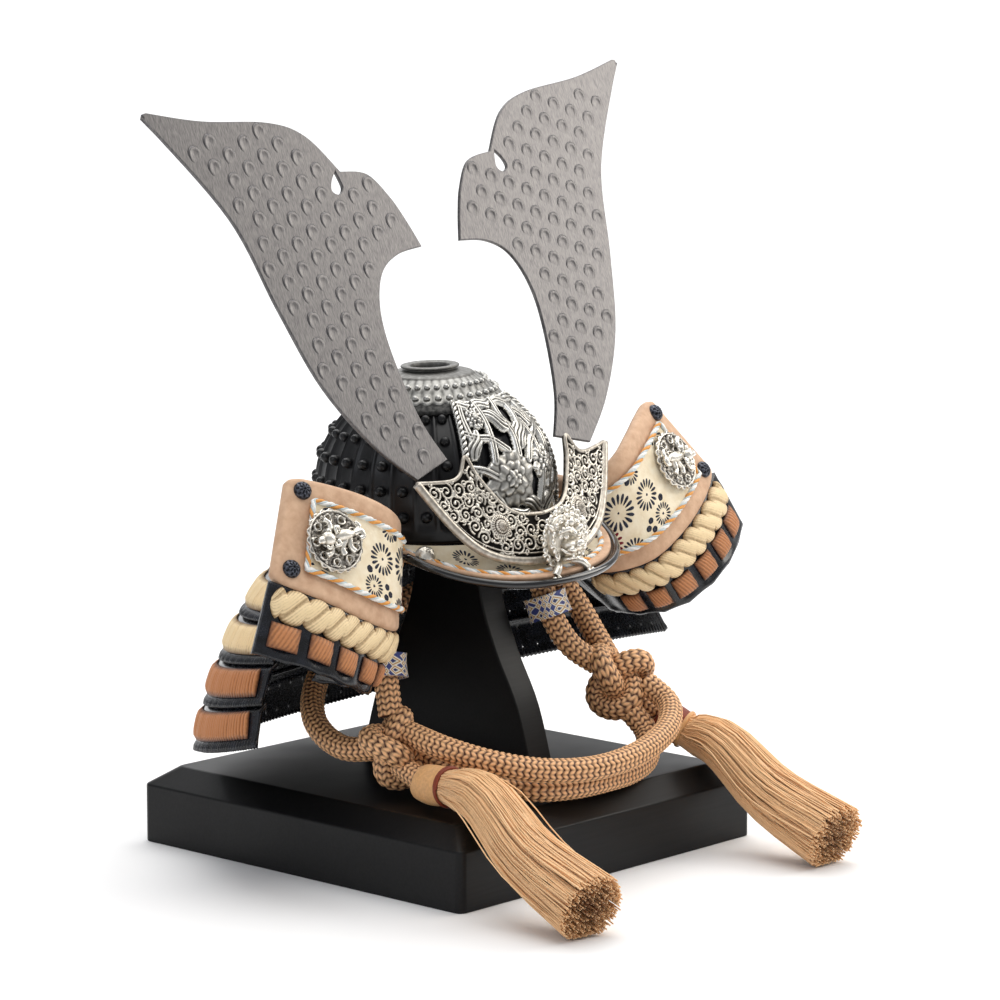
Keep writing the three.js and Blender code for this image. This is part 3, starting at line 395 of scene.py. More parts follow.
def leather(name, tones):
    """Smooth deerskin: matt, with a fine pebbled grain and slight clouding from handling."""
    made, tree, shader, place = material(name, {"Roughness": 0.62, "Sheen Weight": 0.1,
                                                "Specular IOR Level": 0.3})
    cloud = add(tree, "ShaderNodeTexNoise", {"Vector": place, "Scale": 0.35, "Detail": 8.0})
    add(tree, "ShaderNodeValToRGB", {"Fac": cloud}, shader["Base Color"], [(0.3, tones[0]), (0.7, tones[1])])
    # The grain is about 0.3 mm; it is drawn at 0.7 mm so that it shows.
    pebbles = add(tree, "ShaderNodeTexVoronoi", {"Vector": place, "Scale": 1.4})
    add(tree, "ShaderNodeBump", {"Height": pebbles, "Distance": 0.07 * MM, "Strength": 0.6}, shader["Normal"])
    return made


def ink(name, tone, thin):
    """Printer's ink rubbed through a stencil: flat colour that lets a little of the skin show."""
    made, tree, shader, place = material(name, {"Roughness": 0.6, "Specular IOR Level": 0.25})
    cloud = add(tree, "ShaderNodeTexNoise", {"Vector": place, "Scale": 1.5, "Detail": 4.0})
    add(tree, "ShaderNodeValToRGB", {"Fac": cloud}, shader["Base Color"], [(0.4, tone), (0.85, thin)])
    return made


def silk(name, low, high, sheen=0.12):
    """Plied silk braid: soft sheen; its low tone is painted as shade between the threads and its high tone as a
    highlight on their crowns.
    """
    made, tree, shader, place = material(name, {"Roughness": 0.5, "Sheen Weight": sheen,
                                                "Sheen Roughness": 0.4, "Specular IOR Level": 0.4})
    # The relief attribute paints shade and highlights into the colour: darker between threads and in a tassel's
    # inner strands, lighter on crowns.
    relief = add(tree, "ShaderNodeAttribute", attribute_name="relief").outputs["Fac"]
    cloud = add(tree, "ShaderNodeTexNoise", {"Vector": place, "Scale": 1.2, "Detail": 5.0})
    mixed = add(tree, "ShaderNodeMath", {0: cloud, 1: 0.45, 2: relief}, operation="MULTIPLY_ADD")
    mixed = add(tree, "ShaderNodeMath", {0: mixed, 1: 0.22}, operation="SUBTRACT")
    add(tree, "ShaderNodeValToRGB", {"Fac": mixed}, shader["Base Color"], [(0.08, low), (0.7, high)])
    # The plies themselves are about 0.3 mm; they are drawn at 0.5 mm so that they show.
    plies = add(tree, "ShaderNodeTexNoise", {"Vector": place, "Scale": 2.0, "Detail": 3.0})
    add(tree, "ShaderNodeBump", {"Height": plies, "Distance": 0.12 * MM, "Strength": 0.7}, shader["Normal"])
    return made


def woven_brocade():
    """Silk brocade tape: white ground with gold and blue figures, woven thread by thread."""
    made, tree, shader, _ = material("woven_brocade", {"Roughness": 0.5, "Sheen Weight": 0.15})
    across = add(tree, "ShaderNodeUVMap", uv_map="UVMap")
    figure = add(tree, "ShaderNodeTexVoronoi", {"Vector": across, "Scale": 0.42, "Randomness": 0.35},
                 distance="MANHATTAN")
    tone = add(tree, "ShaderNodeValToRGB", {"Fac": figure}, shader["Base Color"],
               [(0.0, "#1e2a66"), (0.3, "#e9e4d6"), (0.46, "#c79a55"), (0.62, "#efe9dc"), (0.8, "#2a3a80")])
    tone.color_ramp.interpolation = "CONSTANT"
    weave = add(tree, "ShaderNodeTexWave", {"Vector": across, "Scale": 1.2, "Distortion": 0.4})
    add(tree, "ShaderNodeBump", {"Height": weave, "Distance": 0.08 * MM, "Strength": 0.6}, shader["Normal"])
    return made


WOOD = satin_black_wood()
BOWL_LACQUER = black_lacquer("bowl_lacquer", "#151517", 0.34, 0.1)
PLATE_LACQUER = black_lacquer("plate_lacquer", "#20232b", 0.24, 0.3)
RIM_LACQUER = black_lacquer("polished_rim", "#100f10", 0.12, 0.8)
PEWTER = chased_metal("chased_pewter", "#1b1a19", "#85837e", "#d3d1cb", 0.3)
ANTIQUE_SILVER = chased_metal("antique_silver", "#151210", "#8f867b", "#e8e2d6", 0.3)
BRIGHT_SILVER = chased_metal("bright_cast_silver", "#2c2621", "#cbc3b5", "#fbf8f0", 0.24)
HORN_METAL = stamped_steel()
CROWN_STEEL = chased_metal("crown_steel", "#2a2a2a", "#757471", "#b2b1ad", 0.38)
DARK_SILVER = chased_metal("oxidised_silver", "#0c0b0a", "#6f6962", "#e9e4da", 0.3)
DARK_BRONZE = chased_metal("darkened_bronze", "#08080a", "#1d1e23", "#5d606a", 0.3)
TAN_LEATHER = leather("tan_deerskin", ("#c39c7d", "#d9b595"))
PRINTED_LEATHER = leather("cream_deerskin", ("#e8d6b4", "#f8ecd2"))
NAVY_INK = ink("navy_print", "#161a2a", "#474a58")
RED_INK = ink("red_print", "#6d0f1c", "#8a3a40")
CREAM_SILK = silk("cream_lacing", "#7e5c33", "#f0d6a8")
BROWN_SILK = silk("brown_lacing", "#4a2512", "#c08050")
WHITE_THREAD = silk("white_thread", "#c9c7c0", "#fbfaf6")
ORANGE_THREAD = silk("orange_thread", "#b5702a", "#eda550")
BLUE_THREAD = silk("pale_blue_thread", "#8fa3a8", "#d0dde0")
CORD_SILK = silk("copper_cord_braid", "#3c1509", "#fac38e", 0.06)
TASSEL_SILK = silk("tassel_silk", "#6b3516", "#f6c996", 0.15)
BINDING_SILK = silk("wound_binding", "#8a5026", "#eab67c", 0.15)
DARK_BINDING = silk("dark_binding", "#3a120b", "#8a3a20")
BROCADE = woven_brocade()


# ---------------------------------------------------------------- making meshes

def tilted(points):
    """From the helmet's own upright frame to its place on the post."""
    points = np.array(points, float)
    x, z = points[:, 0].copy(), points[:, 2] - HELMET_PIVOT
    points[:, 0] = x * math.cos(HELMET_TILT) + z * math.sin(HELMET_TILT)
    points[:, 2] = HELMET_PIVOT - x * math.sin(HELMET_TILT) + z * math.cos(HELMET_TILT)
    return points


def give(mesh, name, values, kind="FLOAT"):
    """Writes a named attribute, one number or one vector for every point."""
    attribute = mesh.attributes.get(name) or mesh.attributes.new(name, kind, "POINT")
    key = "value" if kind == "FLOAT" else "vector"
    attribute.data.foreach_set(key, np.asarray(values, np.float32).ravel())


def point_field(mesh, key):
    """One vector for every point of a mesh, such as its place or its normal."""
    values = np.zeros(len(mesh.vertices) * 3)
    mesh.vertices.foreach_get(key, values)
    return values.reshape(-1, 3)


def baked(obj):
    """The object with its modifiers applied, as a plain mesh."""
    return bpy.data.meshes.new_from_object(obj.evaluated_get(bpy.context.evaluated_depsgraph_get()))


def mesh_from(name, points, faces, finish, relief=None, uv=None, smooth=True):
    mesh = bpy.data.meshes.new(name)
    places = [tuple(p) for p in np.asarray(points, float) * MM]
    mesh.from_pydata(places, [], [tuple(int(i) for i in f) for f in faces])
    mesh.materials.append(finish)
    if relief is not None:
        give(mesh, "relief", relief)
    if uv is not None:
        layer = mesh.uv_layers.new(name="UVMap")
        loops = np.zeros(len(mesh.loops), np.int32)
        mesh.loops.foreach_get("vertex_index", loops)
        layer.data.foreach_set("uv", np.asarray(uv, np.float32)[loops].ravel())
    if smooth:
        mesh.polygons.foreach_set("use_smooth", [True] * len(mesh.polygons))
    mesh.validate()
    mesh.update()
    return mesh


def piece(name, points, faces, finish, helmet=True, mirror=False, **more):
    """A new object from millimetres. Helmet pieces take the helmet's tilt; mirror makes the right one."""
    points = np.array(points, float).reshape(-1, 3)
    if mirror:
        points[:, 0] *= -1
        faces = [tuple(reversed(f)) for f in faces]
    if helmet:
        points = tilted(points)
    return put(name, mesh_from(name, points, faces, finish, **more))


def grid_faces(rows, columns, start=0, closed_rows=False, closed_columns=False, flipped=False):
    faces = []
    for j in range(rows - (0 if closed_rows else 1)):
        for i in range(columns - (0 if closed_columns else 1)):
            a, b = start + j * columns + i, start + j * columns + (i + 1) % columns
            k = (j + 1) % rows
            c, d = start + k * columns + (i + 1) % columns, start + k * columns + i
            faces.append((a, d, c, b) if flipped else (a, b, c, d))
    return faces


def closed_sheet(top, bottom):
    """Points and faces of a sheet between two grids of the same size."""
    rows, columns = top.shape[:2]
    layer = rows * columns
    faces = grid_faces(rows, columns) + grid_faces(rows, columns, layer, flipped=True)
    edge = [(0, i) for i in range(columns)] + [(j, columns - 1) for j in range(1, rows)]
    edge += [(rows - 1, i) for i in range(columns - 2, -1, -1)] + [(j, 0) for j in range(rows - 2, 0, -1)]
    ring = [j * columns + i for j, i in edge]
    for a, b in zip(ring, ring[1:] + ring[:1]):
        faces.append((b, a, a + layer, b + layer))
    return np.concatenate([top.reshape(-1, 3), bottom.reshape(-1, 3)]), faces


def sheet_on(patch, across, down, low, high, u=(0, 1), v=(0, 1)):
    us, vs = np.meshgrid(np.linspace(*u, across + 1), np.linspace(*v, down + 1))
    top = patch.at(us, vs, high(us, vs) if callable(high) else np.full_like(us, high))
    bottom = patch.at(us, vs, np.full_like(us, low))
    return closed_sheet(top, bottom)


def pierced_sheet(top, bottom, open_cell):
    """A sheet between two grids with some of its cells cut right through."""
    rows, columns = top.shape[0] - 1, top.shape[1] - 1
    layer = (rows + 1) * (columns + 1)
    faces = []
    for j in range(rows):
        for i in range(columns):
            if open_cell[j, i]:
                continue
            a = j * (columns + 1) + i
            b, c, d = a + 1, a + columns + 2, a + columns + 1
            faces += [(a, b, c, d), (d + layer, c + layer, b + layer, a + layer)]
            for p, q, jj, ii in ((a, b, j - 1, i), (b, c, j, i + 1), (c, d, j + 1, i), (d, a, j, i - 1)):
                if not (0 <= jj < rows and 0 <= ii < columns) or open_cell[jj, ii]:
                    faces.append((q, p, p + layer, q + layer))
    used = np.unique(np.concatenate([np.array(f) for f in faces]))
    index = np.full(2 * layer, -1)
    index[used] = np.arange(len(used))
    points = np.concatenate([top.reshape(-1, 3), bottom.reshape(-1, 3)])[used]
    return points, [tuple(index[list(f)]) for f in faces]


def face_of(patch, u, v, height):
    """Puts flat points, with their height last, square on a patch at one place."""
    centre = patch.at(u, v, height)
    outward = unit(patch.at(u, v, 1.0) - patch.at(u, v, 0.0))
    across = unit(patch.at(u + 0.01, v) - patch.at(u - 0.01, v))
    up = np.cross(outward, across)
    return lambda points: centre + points[:, 0:1] * across + points[:, 1:2] * up + points[:, 2:3] * outward


def recalculated(obj):
    """Turns every face outward."""
    work = bmesh.new()
    work.from_mesh(obj.data)
    bmesh.ops.recalc_face_normals(work, faces=work.faces)
    work.to_mesh(obj.data)
    work.free()
    return obj


def tube_mesh(points, radius, sides, closed=False):
    """Points and faces of a round tube; radius may be one number or an array of rows by sides."""
    _, side, up = frames_along(points, closed)
    angles = np.linspace(0, TURN, sides, endpoint=False)
    radius = np.broadcast_to(np.asarray(radius, float), (len(points), sides)) if np.ndim(radius) else radius
    spread = side[:, None] * np.cos(angles)[None, :, None] + up[:, None] * np.sin(angles)[None, :, None]
    reach = radius[..., None] if np.ndim(radius) else radius
    rings = np.asarray(points)[:, None] + spread * reach
    faces = grid_faces(len(points), sides, closed_rows=closed, closed_columns=True)
    if not closed:
        last = (len(points) - 1) * sides
        faces += [tuple(reversed(range(sides))), tuple(range(last, last + sides))]
    return rings.reshape(-1, 3), faces


def join(parts):
    """Several (points, faces) as one."""
    points, faces, start = [], [], 0
    for some_points, some_faces in parts:
        some_points = np.asarray(some_points, float).reshape(-1, 3)
        points.append(some_points)
        faces += [tuple(i + start for i in face) for face in some_faces]
        start += len(some_points)
    return np.concatenate(points), faces


def cavity_relief(obj, reach=0.35, softness=2):
    """Gives a piece its relief attribute from its own shape: hollows dark, ridges bright."""
    mesh = obj.data
    count = len(mesh.vertices)
    co, normal = point_field(mesh, "co"), point_field(mesh, "normal")
    edges = np.zeros(len(mesh.edges) * 2, np.int64)
    mesh.edges.foreach_get("vertices", edges)
    a, b = edges.reshape(-1, 2).T
    total = np.bincount(a, minlength=count) + np.bincount(b, minlength=count)
    near = np.zeros_like(co)
    np.add.at(near, a, co[b])
    np.add.at(near, b, co[a])
    bend = -((near / np.maximum(total, 1)[:, None] - co) * normal).sum(1)
    spread = np.linalg.norm(co[a] - co[b], axis=1).mean()
    value = bend / spread
    for _ in range(softness):
        mean = np.zeros(count)
        np.add.at(mean, a, value[b])
        np.add.at(mean, b, value[a])
        value = (value + mean / np.maximum(total, 1)) / 2
    give(mesh, "relief", np.clip(0.55 + value / reach, 0, 1))


def seat(obj, slot, replaces=()):
    """Hands a finished piece to the frame."""
    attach(obj, "root")
    if replaces:
        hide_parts(*replaces)
    return obj


# ---------------------------------------------------------------- repeats, made with geometry nodes

def socket(tree, name, kind, **settings):
    made = tree.interface.new_socket(name, in_out="INPUT", socket_type=kind)
    for key, value in settings.items():
        setattr(made, key, value)
    return made


def repeat_tree():
    """One shape at every point, turned and sized by the points' own attributes."""
    tree = bpy.data.node_groups.new("repeat_shape", "GeometryNodeTree")
    socket(tree, "Points", "NodeSocketGeometry")
    socket(tree, "Shape", "NodeSocketObject")
    socket(tree, "Finish", "NodeSocketMaterial")
    socket(tree, "Overall size", "NodeSocketFloat", default_value=1.0)
    tree.interface.new_socket("Geometry", in_out="OUTPUT", socket_type="NodeSocketGeometry")
    given = add(tree, "NodeGroupInput")
    shape = add(tree, "GeometryNodeObjectInfo", {"Object": given.outputs["Shape"]})
    turn = add(tree, "GeometryNodeInputNamedAttribute", {"Name": "turn"}, data_type="FLOAT_VECTOR")
    size = add(tree, "GeometryNodeInputNamedAttribute", {"Name": "size"}, data_type="FLOAT_VECTOR")
    scaled = add(tree, "ShaderNodeVectorMath", {0: size.outputs["Attribute"]}, operation="SCALE")
    tree.links.new(given.outputs["Overall size"], scaled.inputs["Scale"])
    placed = add(tree, "GeometryNodeInstanceOnPoints", {
        "Points": given.outputs["Points"], "Instance": shape.outputs["Geometry"],
        "Rotation": turn.outputs["Attribute"], "Scale": scaled.outputs[0]})
    real = add(tree, "GeometryNodeRealizeInstances", {"Geometry": placed.outputs["Instances"]})
    done = add(tree, "GeometryNodeSetMaterial",
               {"Geometry": real.outputs[0], "Material": given.outputs["Finish"]})
    add(tree, "NodeGroupOutput", {"Geometry": done.outputs[0]})
    return tree


def thread_tree():
    """A round thread along every line."""
    tree = bpy.data.node_groups.new("thread_along_lines", "GeometryNodeTree")
    socket(tree, "Lines", "NodeSocketGeometry")
    socket(tree, "Radius", "NodeSocketFloat", default_value=0.3)
    socket(tree, "Sides", "NodeSocketInt", default_value=4)
    socket(tree, "Finish", "NodeSocketMaterial")
    tree.interface.new_socket("Geometry", in_out="OUTPUT", socket_type="NodeSocketGeometry")
    given = add(tree, "NodeGroupInput")
    lines = add(tree, "GeometryNodeMeshToCurve", {"Mesh": given.outputs["Lines"]})
    ring = add(tree, "GeometryNodeCurvePrimitiveCircle",
               {"Resolution": given.outputs["Sides"], "Radius": given.outputs["Radius"]})
    threads = add(tree, "GeometryNodeCurveToMesh",
                  {"Curve": lines.outputs[0], "Profile Curve": ring.outputs[0], "Fill Caps": True})
    real = add(tree, "GeometryNodeRealizeInstances", {"Geometry": threads.outputs[0]})
    done = add(tree, "GeometryNodeSetMaterial",
               {"Geometry": real.outputs[0], "Material": given.outputs["Finish"]})
    add(tree, "NodeGroupOutput", {"Geometry": done.outputs[0]})
    return tree


REPEAT_TREE = repeat_tree()
THREAD_TREE = thread_tree()


def run_tree(tree, source, inputs):
    """The tree's result on the source mesh, as a plain mesh; the source and the modifier are removed."""
    holder = put("tree_source", source)
    modifier = holder.modifiers.new("tree", "NODES")
    modifier.node_group = tree
    names = {item.name: item.identifier for item in tree.interface.items_tree if item.item_type == "SOCKET"
             and item.in_out == "INPUT"}
    for name, value in inputs.items():
        modifier[names[name]] = value
    bpy.context.view_layer.update()
    result = baked(holder)
    holder.modifiers.remove(modifier)
    bpy.data.objects.remove(holder)
    return result


def repeated(name, shape, places, turns, sizes, finish, bend=None, helmet=True, mirror=False):
    """Copies of a shape at flat places, laid onto a surface by bend(points), as one piece."""
    count = len(places)
    source = bpy.data.meshes.new("places")
    flat = np.zeros((count, 3))
    flat[:, :np.shape(places)[1]] = places
    source.from_pydata([tuple(p) for p in flat], [], [])
    turns = np.asarray(turns, float) * np.ones(count)
    spin = np.stack([np.zeros(count), np.zeros(count), turns], axis=1)
    give(source, "turn", spin, "FLOAT_VECTOR")
    give(source, "size", np.broadcast_to(np.asarray(sizes, float), (count, 3)), "FLOAT_VECTOR")
    relief = shape[2] if len(shape) > 2 else None
    pattern = put("pattern", mesh_from("pattern", np.asarray(shape[0]) / MM, shape[1], finish, relief=relief))
    mesh = run_tree(REPEAT_TREE, source, {"Shape": pattern, "Finish": finish, "Overall size": 1.0})
    bpy.data.objects.remove(pattern)
    return bent_piece(name, mesh, bend, helmet, mirror)


def bent_piece(name, mesh, bend, helmet, mirror):
    """A tree's mesh, still in millimetres, bent onto its surface and put in the scene."""
    points = point_field(mesh, "co")
    if bend is not None:
        points = bend(points)
    if mirror:
        points = points * (-1, 1, 1)
        mesh.flip_normals()
    if helmet:
        points = tilted(points)
    mesh.vertices.foreach_set("co", (points * MM).ravel())
    mesh.polygons.foreach_set("use_smooth", [True] * len(mesh.polygons))
    mesh.update()
    mesh.name = name
    return put(name, mesh)


def threads(name, lines, radius, sides, finish, bend=None, helmet=True, mirror=False, relief=None):
    """Round threads along many lines, as one piece."""
    points, edges, values = [], [], []
    for index, line in enumerate(lines):
        start = len(points)
        points += [tuple(p) for p in line]
        edges += [(start + i, start + i + 1) for i in range(len(line) - 1)]
        values += [0.6 if relief is None else relief[index]] * len(line)
    source = bpy.data.meshes.new("lines")
    source.from_pydata(points, edges, [])
    give(source, "relief", values)
    mesh = run_tree(THREAD_TREE, source, {"Radius": radius, "Sides": sides, "Finish": finish})
    return bent_piece(name, mesh, bend, helmet, mirror)


def dome(rings=3, sides=10, height=1.0):
    """A unit half ball on a short skirt, for rivets, studs and beads."""
    points = [(math.cos(TURN * i / sides), math.sin(TURN * i / sides), -0.3) for i in range(sides)]
    relief = [0.2] * sides
    for ring in range(rings):
        angle = TURN / 4 * ring / rings
        for i in range(sides):
            spot = TURN * i / sides
            points.append((math.cos(angle) * math.cos(spot), math.cos(angle) * math.sin(spot),
                           math.sin(angle) * height))
            relief.append(0.35 + 0.6 * math.sin(angle))
    points.append((0, 0, height))
    relief.append(1.0)
    faces = grid_faces(rings + 1, sides, closed_columns=True)
    top = len(points) - 1
    faces += [(rings * sides + i, rings * sides + (i + 1) % sides, top) for i in range(sides)]
    faces.append(tuple(reversed(range(sides))))
    return np.array(points), faces, relief


def pillow(length, width, height, along=6, across=5, ridges=0, twist=0.0):
    """A soft strand lying flat: rounded over its length and width, with thread ridges."""
    y, x = np.meshgrid(np.linspace(-0.5, 0.5, along + 1), np.linspace(-0.5, 0.5, across + 1), indexing="ij")
    edge = np.maximum((1 - np.abs(2 * x) ** 2.6) * (1 - np.abs(2 * y) ** 3.2), 0) ** 0.5
    phase = x + 0.5 + twist / max(ridges, 1) * (y + 0.5)
    groove = (0.5 + 0.5 * np.cos(TURN * ridges * phase)) * (ridges > 0)
    rise = height * edge - 0.2 * height * groove * (edge > 0.2)
    top = np.stack([x * width, y * length, rise], axis=-1)
    bottom = top * (1, 1, 0) - (0, 0, 0.05)
    points, faces = closed_sheet(top, bottom)
    # The relief paints shade along the strand's edges and in its thread grooves, and a highlight along its
    # crown.
    relief = 0.08 + 0.8 * edge - 0.4 * groove * edge
    return points, faces, list(relief.ravel()) + [0.05] * relief.size


def flat_shape(outline, height=0.1):
    """A thin printed or cut shape from its outline."""
    count = len(outline)
    points = [(x, y, height) for x, y in outline] + [(x, y, -0.05) for x, y in outline]
    faces = [tuple(range(count)), tuple(reversed(range(count, 2 * count)))]
    faces += [(i, i + count, (i + 1) % count + count, (i + 1) % count) for i in range(count)]
    return np.array(points), faces


# ---------------------------------------------------------------- chin cord

STITCH = 1.85
COLUMN_SIDES = 4
CORD_POINT_SPACING = 4.0


def braid(points, closed=False, radius=CORD_RADIUS, columns=16):
    """A round braid: columns of slanted stitches that lean each way in turn."""
    line = evenly(points, 0.3)
    run = run_along(line)
    if closed:
        run *= round(run[-1] / STITCH) * STITCH / run[-1]
        line, run = line[:-1], run[:-1]
    sides = columns * COLUMN_SIDES
    around = (np.arange(sides) + 0.5) / sides * columns
    across = (around % 1) * 2 - 1
    lean = np.where(np.floor(around) % 2, 1, -1)
    stitch = np.abs(np.cos(math.pi * (run[:, None] / STITCH + lean * across * 0.26)))
    swell = stitch ** 0.6 * (1 - 0.55 * across ** 2)
    places, faces = tube_mesh(line, radius - 0.6 + 0.62 * swell, sides, closed)
    # The relief paints shade into the gaps between stitches and highlights on their crowns.
    return places, faces, (swell ** 1.9).ravel()


def turned(points, degrees):
    """Turned about x, then y, then z."""
    about_x, about_y, about_z = [Matrix.Rotation(d * DEGREE, 3, axis) for d, axis in zip(degrees, "XYZ")]
    return np.asarray(points) @ np.array(about_z @ about_y @ about_x).T


def knot_bight(steps=240):
    """The closed course of the knot's cord, a trefoil."""
    angle = np.linspace(0, TURN, steps + 1)
    return np.stack([3.1 * (np.sin(angle) + 2 * np.sin(2 * angle)),
                     3.1 * (np.cos(angle) - 2 * np.cos(2 * angle)),
                     -3.9 * np.sin(3 * angle)], axis=1)


def chin_cords():
    for name, places in CORDS.items():
        line = route(places, 200)
        points, faces, relief = braid(line)
        cord = piece(name + "_braid", points, faces, CORD_SILK, helmet=False, relief=relief)
        seat(cord, "copper_cord", [name])
        path = evenly(line, CORD_POINT_SPACING)
        length_of(line) * MM


def knots():
    for side, (centre, degrees) in KNOTS.items():
        points, faces, relief = braid(knot_bight(), closed=True)
        made = piece(f"knot_{side}_braid", turned(points, degrees) + np.array(centre), faces, CORD_SILK,
                     helmet=False, relief=relief)
        seat(made, "copper_cord", [f"knot_{side}"])


TASSEL_STEPS = 120
# Places along the tassel, in tens of steps, and its radius there.
TASSEL_PROFILE = [(0, 4.8), (4.6, 4.8), (5.4, 6.2), (7.5, 7.7), (9.7, 9.0), (12, 10.6)]
# Each layer of strands from outside in: its share of the radius, and how many strands it has.
STRAND_LAYERS = [(1.0, 150), (0.96, 140), (0.89, 125), (0.8, 110), (0.68, 95), (0.54, 75), (0.38, 52),
                 (0.2, 28)]
SKIRT_TOP = 4.2
STRAND_POINTS = 12
WINDING_POINTS = 24


def winding(path, across, up, first, last, turns, radius):
    """A thread wound round a stretch of the path, fuller at its middle."""
    share = np.linspace(first, last, turns * WINDING_POINTS)
    angle = np.linspace(0, turns * TURN, turns * WINDING_POINTS)
    step = np.clip(share.astype(int), 0, TASSEL_STEPS - 1)
    reach = radius + 0.35 * np.sin(np.linspace(0, TURN / 2, turns * WINDING_POINTS))
    centre = path[step] + (path[step + 1] - path[step]) * (share - step)[:, None]
    outward = across[step] * np.cos(angle)[:, None] + up[step] * np.sin(angle)[:, None]
    return centre + outward * reach[:, None]


def strand(path, across, up, thick, layer, k, count):
    """One strand of a skirt, kept off the floor; a few in the outer layer stand away from the rest."""
    angle = TURN * (k + RANDOM.uniform(-0.35, 0.35)) / count
    drift = RANDOM.normal(0, 0.1)
    end = RANDOM.uniform(11.78, 11.98)
    spread = layer * RANDOM.uniform(0.93, 1.02)
    sway = RANDOM.uniform(0, TURN)
    stray = 0.3 if layer == 1.0 and k % 41 == 6 else 0.0
    line = []
    for share in np.linspace(SKIRT_TOP, end, STRAND_POINTS):
        step = share * 10
        index = min(int(step), TASSEL_STEPS - 1)
        centre = path[index] + (path[index + 1] - path[index]) * (step - index)
        turn = angle + drift * (share - SKIRT_TOP) / 7 + 0.04 * math.sin(share * 1.3 + sway)
        reach = np.interp(step, np.arange(TASSEL_STEPS + 1), thick) * min(spread, 1.0)
        reach *= 1 + stray * math.sin((share - SKIRT_TOP) / (end - SKIRT_TOP) * TURN / 2)
        spot = centre + (across[index] * math.cos(turn) + up[index] * math.sin(turn)) * reach
        spot[2] = max(spot[2], 0.8 + 1.6 * (1 - layer) + 0.2 * math.sin(k * 2.1))
        line.append(spot)
    return line


def tassels():
    for side, places in TASSELS.items():
        path = route(places, TASSEL_STEPS + 1)
        _, across, up = frames_along(path)
        thick = read_off(TASSEL_PROFILE, np.arange(TASSEL_STEPS + 1) / 10)
        stem, stem_faces, stem_relief = braid(path[:26], radius=3.5)
        made = piece(f"tassel_{side}_stem", stem, stem_faces, CORD_SILK, helmet=False, relief=stem_relief)
        seat(made, "copper_cord")
        binding, ring = (BINDING_SILK, DARK_BINDING) if side == "right" else (DARK_BINDING, BINDING_SILK)
        for part_name, first, last, turns, radius, finish in (("binding", 22, 42, 20, 5.15, binding),
                                                              ("ring", 42.4, 44.6, 3, 5.4, ring)):
            line = winding(path, across, up, first, last, turns, radius)
            wound = threads(f"tassel_{side}_{part_name}", [line], 0.42, 6, finish, helmet=False)
            seat(wound, "copper_cord")
        strands, strand_tone_and_shade = [], []
        for layer, count in STRAND_LAYERS:
            for k in range(count):
                strands.append(strand(path, across, up, thick, layer, k, count))
                # Each strand's tone varies at random, and the inner layers are painted darker as shade.
                strand_tone_and_shade.append(0.25 + 0.5 * layer + RANDOM.uniform(-0.25, 0.25))
        skirt = threads(f"tassel_{side}_skirt", strands, 0.25, 4, TASSEL_SILK, helmet=False, relief=strand_tone_and_shade)
        seat(skirt, "copper_cord", [f"tassel_{side}"])


def brocade_loops():
    for side, cord, share in (("left", "chin_cord_left_front", 0.585),
                              ("right", "chin_cord_right_front", 0.762)):
        line = evenly(route(CORDS[cord], 200), 0.2)
        spot = int(round(share * (len(line) - 1)))
        middle, along = line[spot], unit(line[spot + 5] - line[spot - 5])
        turn = Vector((0, 0, -1)).rotation_difference(Vector(along)).to_matrix()
        count, rows = 72, 12
        angle = np.arange(count) / count * TURN
        rings, uv = [], []
        for z in np.linspace(-3.5, 3.5, rows + 1):
            flare = 0.25 * (abs(z) / 3.5) ** 3
            for a in angle:
                rings.append((math.copysign(abs(math.cos(a)) ** 0.62, math.cos(a)) * (6.25 + flare),
                              math.copysign(abs(math.sin(a)) ** 0.62, math.sin(a)) * (5.05 + flare), z))
                uv.append((a * 5.8, z))
        outer = np.array(rings).reshape(rows + 1, count, 3)
        points = np.concatenate([outer, outer[::-1] * (0.84, 0.82, 1)]).reshape(-1, 3)
        faces = grid_faces(2 * rows + 2, count, closed_rows=True, closed_columns=True)
        uv = uv + uv[::-1]
        points = points @ np.array(turn).T + middle
        loop = piece(f"brocade_loop_{side}_tape", points, faces, BROCADE, helmet=False, uv=uv)
        recalculated(loop)
        seat(loop, "brocade", [f"brocade_loop_{side}"])


chin_cords()
knots()
tassels()
brocade_loops()


# ---------------------------------------------------------------- stand

def softened(name, node, finish, edge_mm, slot, steps=3, least_angle=20):
    """The node's own shape with its edges eased."""
    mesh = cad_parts[node].data.copy()
    work = bmesh.new()
    work.from_mesh(mesh)
    bmesh.ops.remove_doubles(work, verts=work.verts, dist=2e-6)
    bmesh.ops.dissolve_limit(work, angle_limit=1 * DEGREE, verts=work.verts, edges=work.edges)
    edges = [e for e in work.edges if len(e.link_faces) == 2 and e.calc_face_angle(0) > least_angle * DEGREE]
    bmesh.ops.bevel(work, geom=edges, offset=edge_mm * MM, segments=steps, profile=0.5, affect="EDGES",
                    clamp_overlap=True)
    for face in work.faces:
        face.smooth = True
    work.to_mesh(mesh)
    work.free()
    mesh.materials.clear()
    mesh.materials.append(finish)
    mesh.name = name
    made = put(name, mesh)
    made.modifiers.new("even shading", "WEIGHTED_NORMAL").keep_sharp = False
    return seat(made, slot, [node])


softened("base_board", "stand_base", WOOD, 0.7, "black_wood")
softened("post_board", "stand_post", WOOD, 0.6, "black_wood")


# ---------------------------------------------------------------- bowl

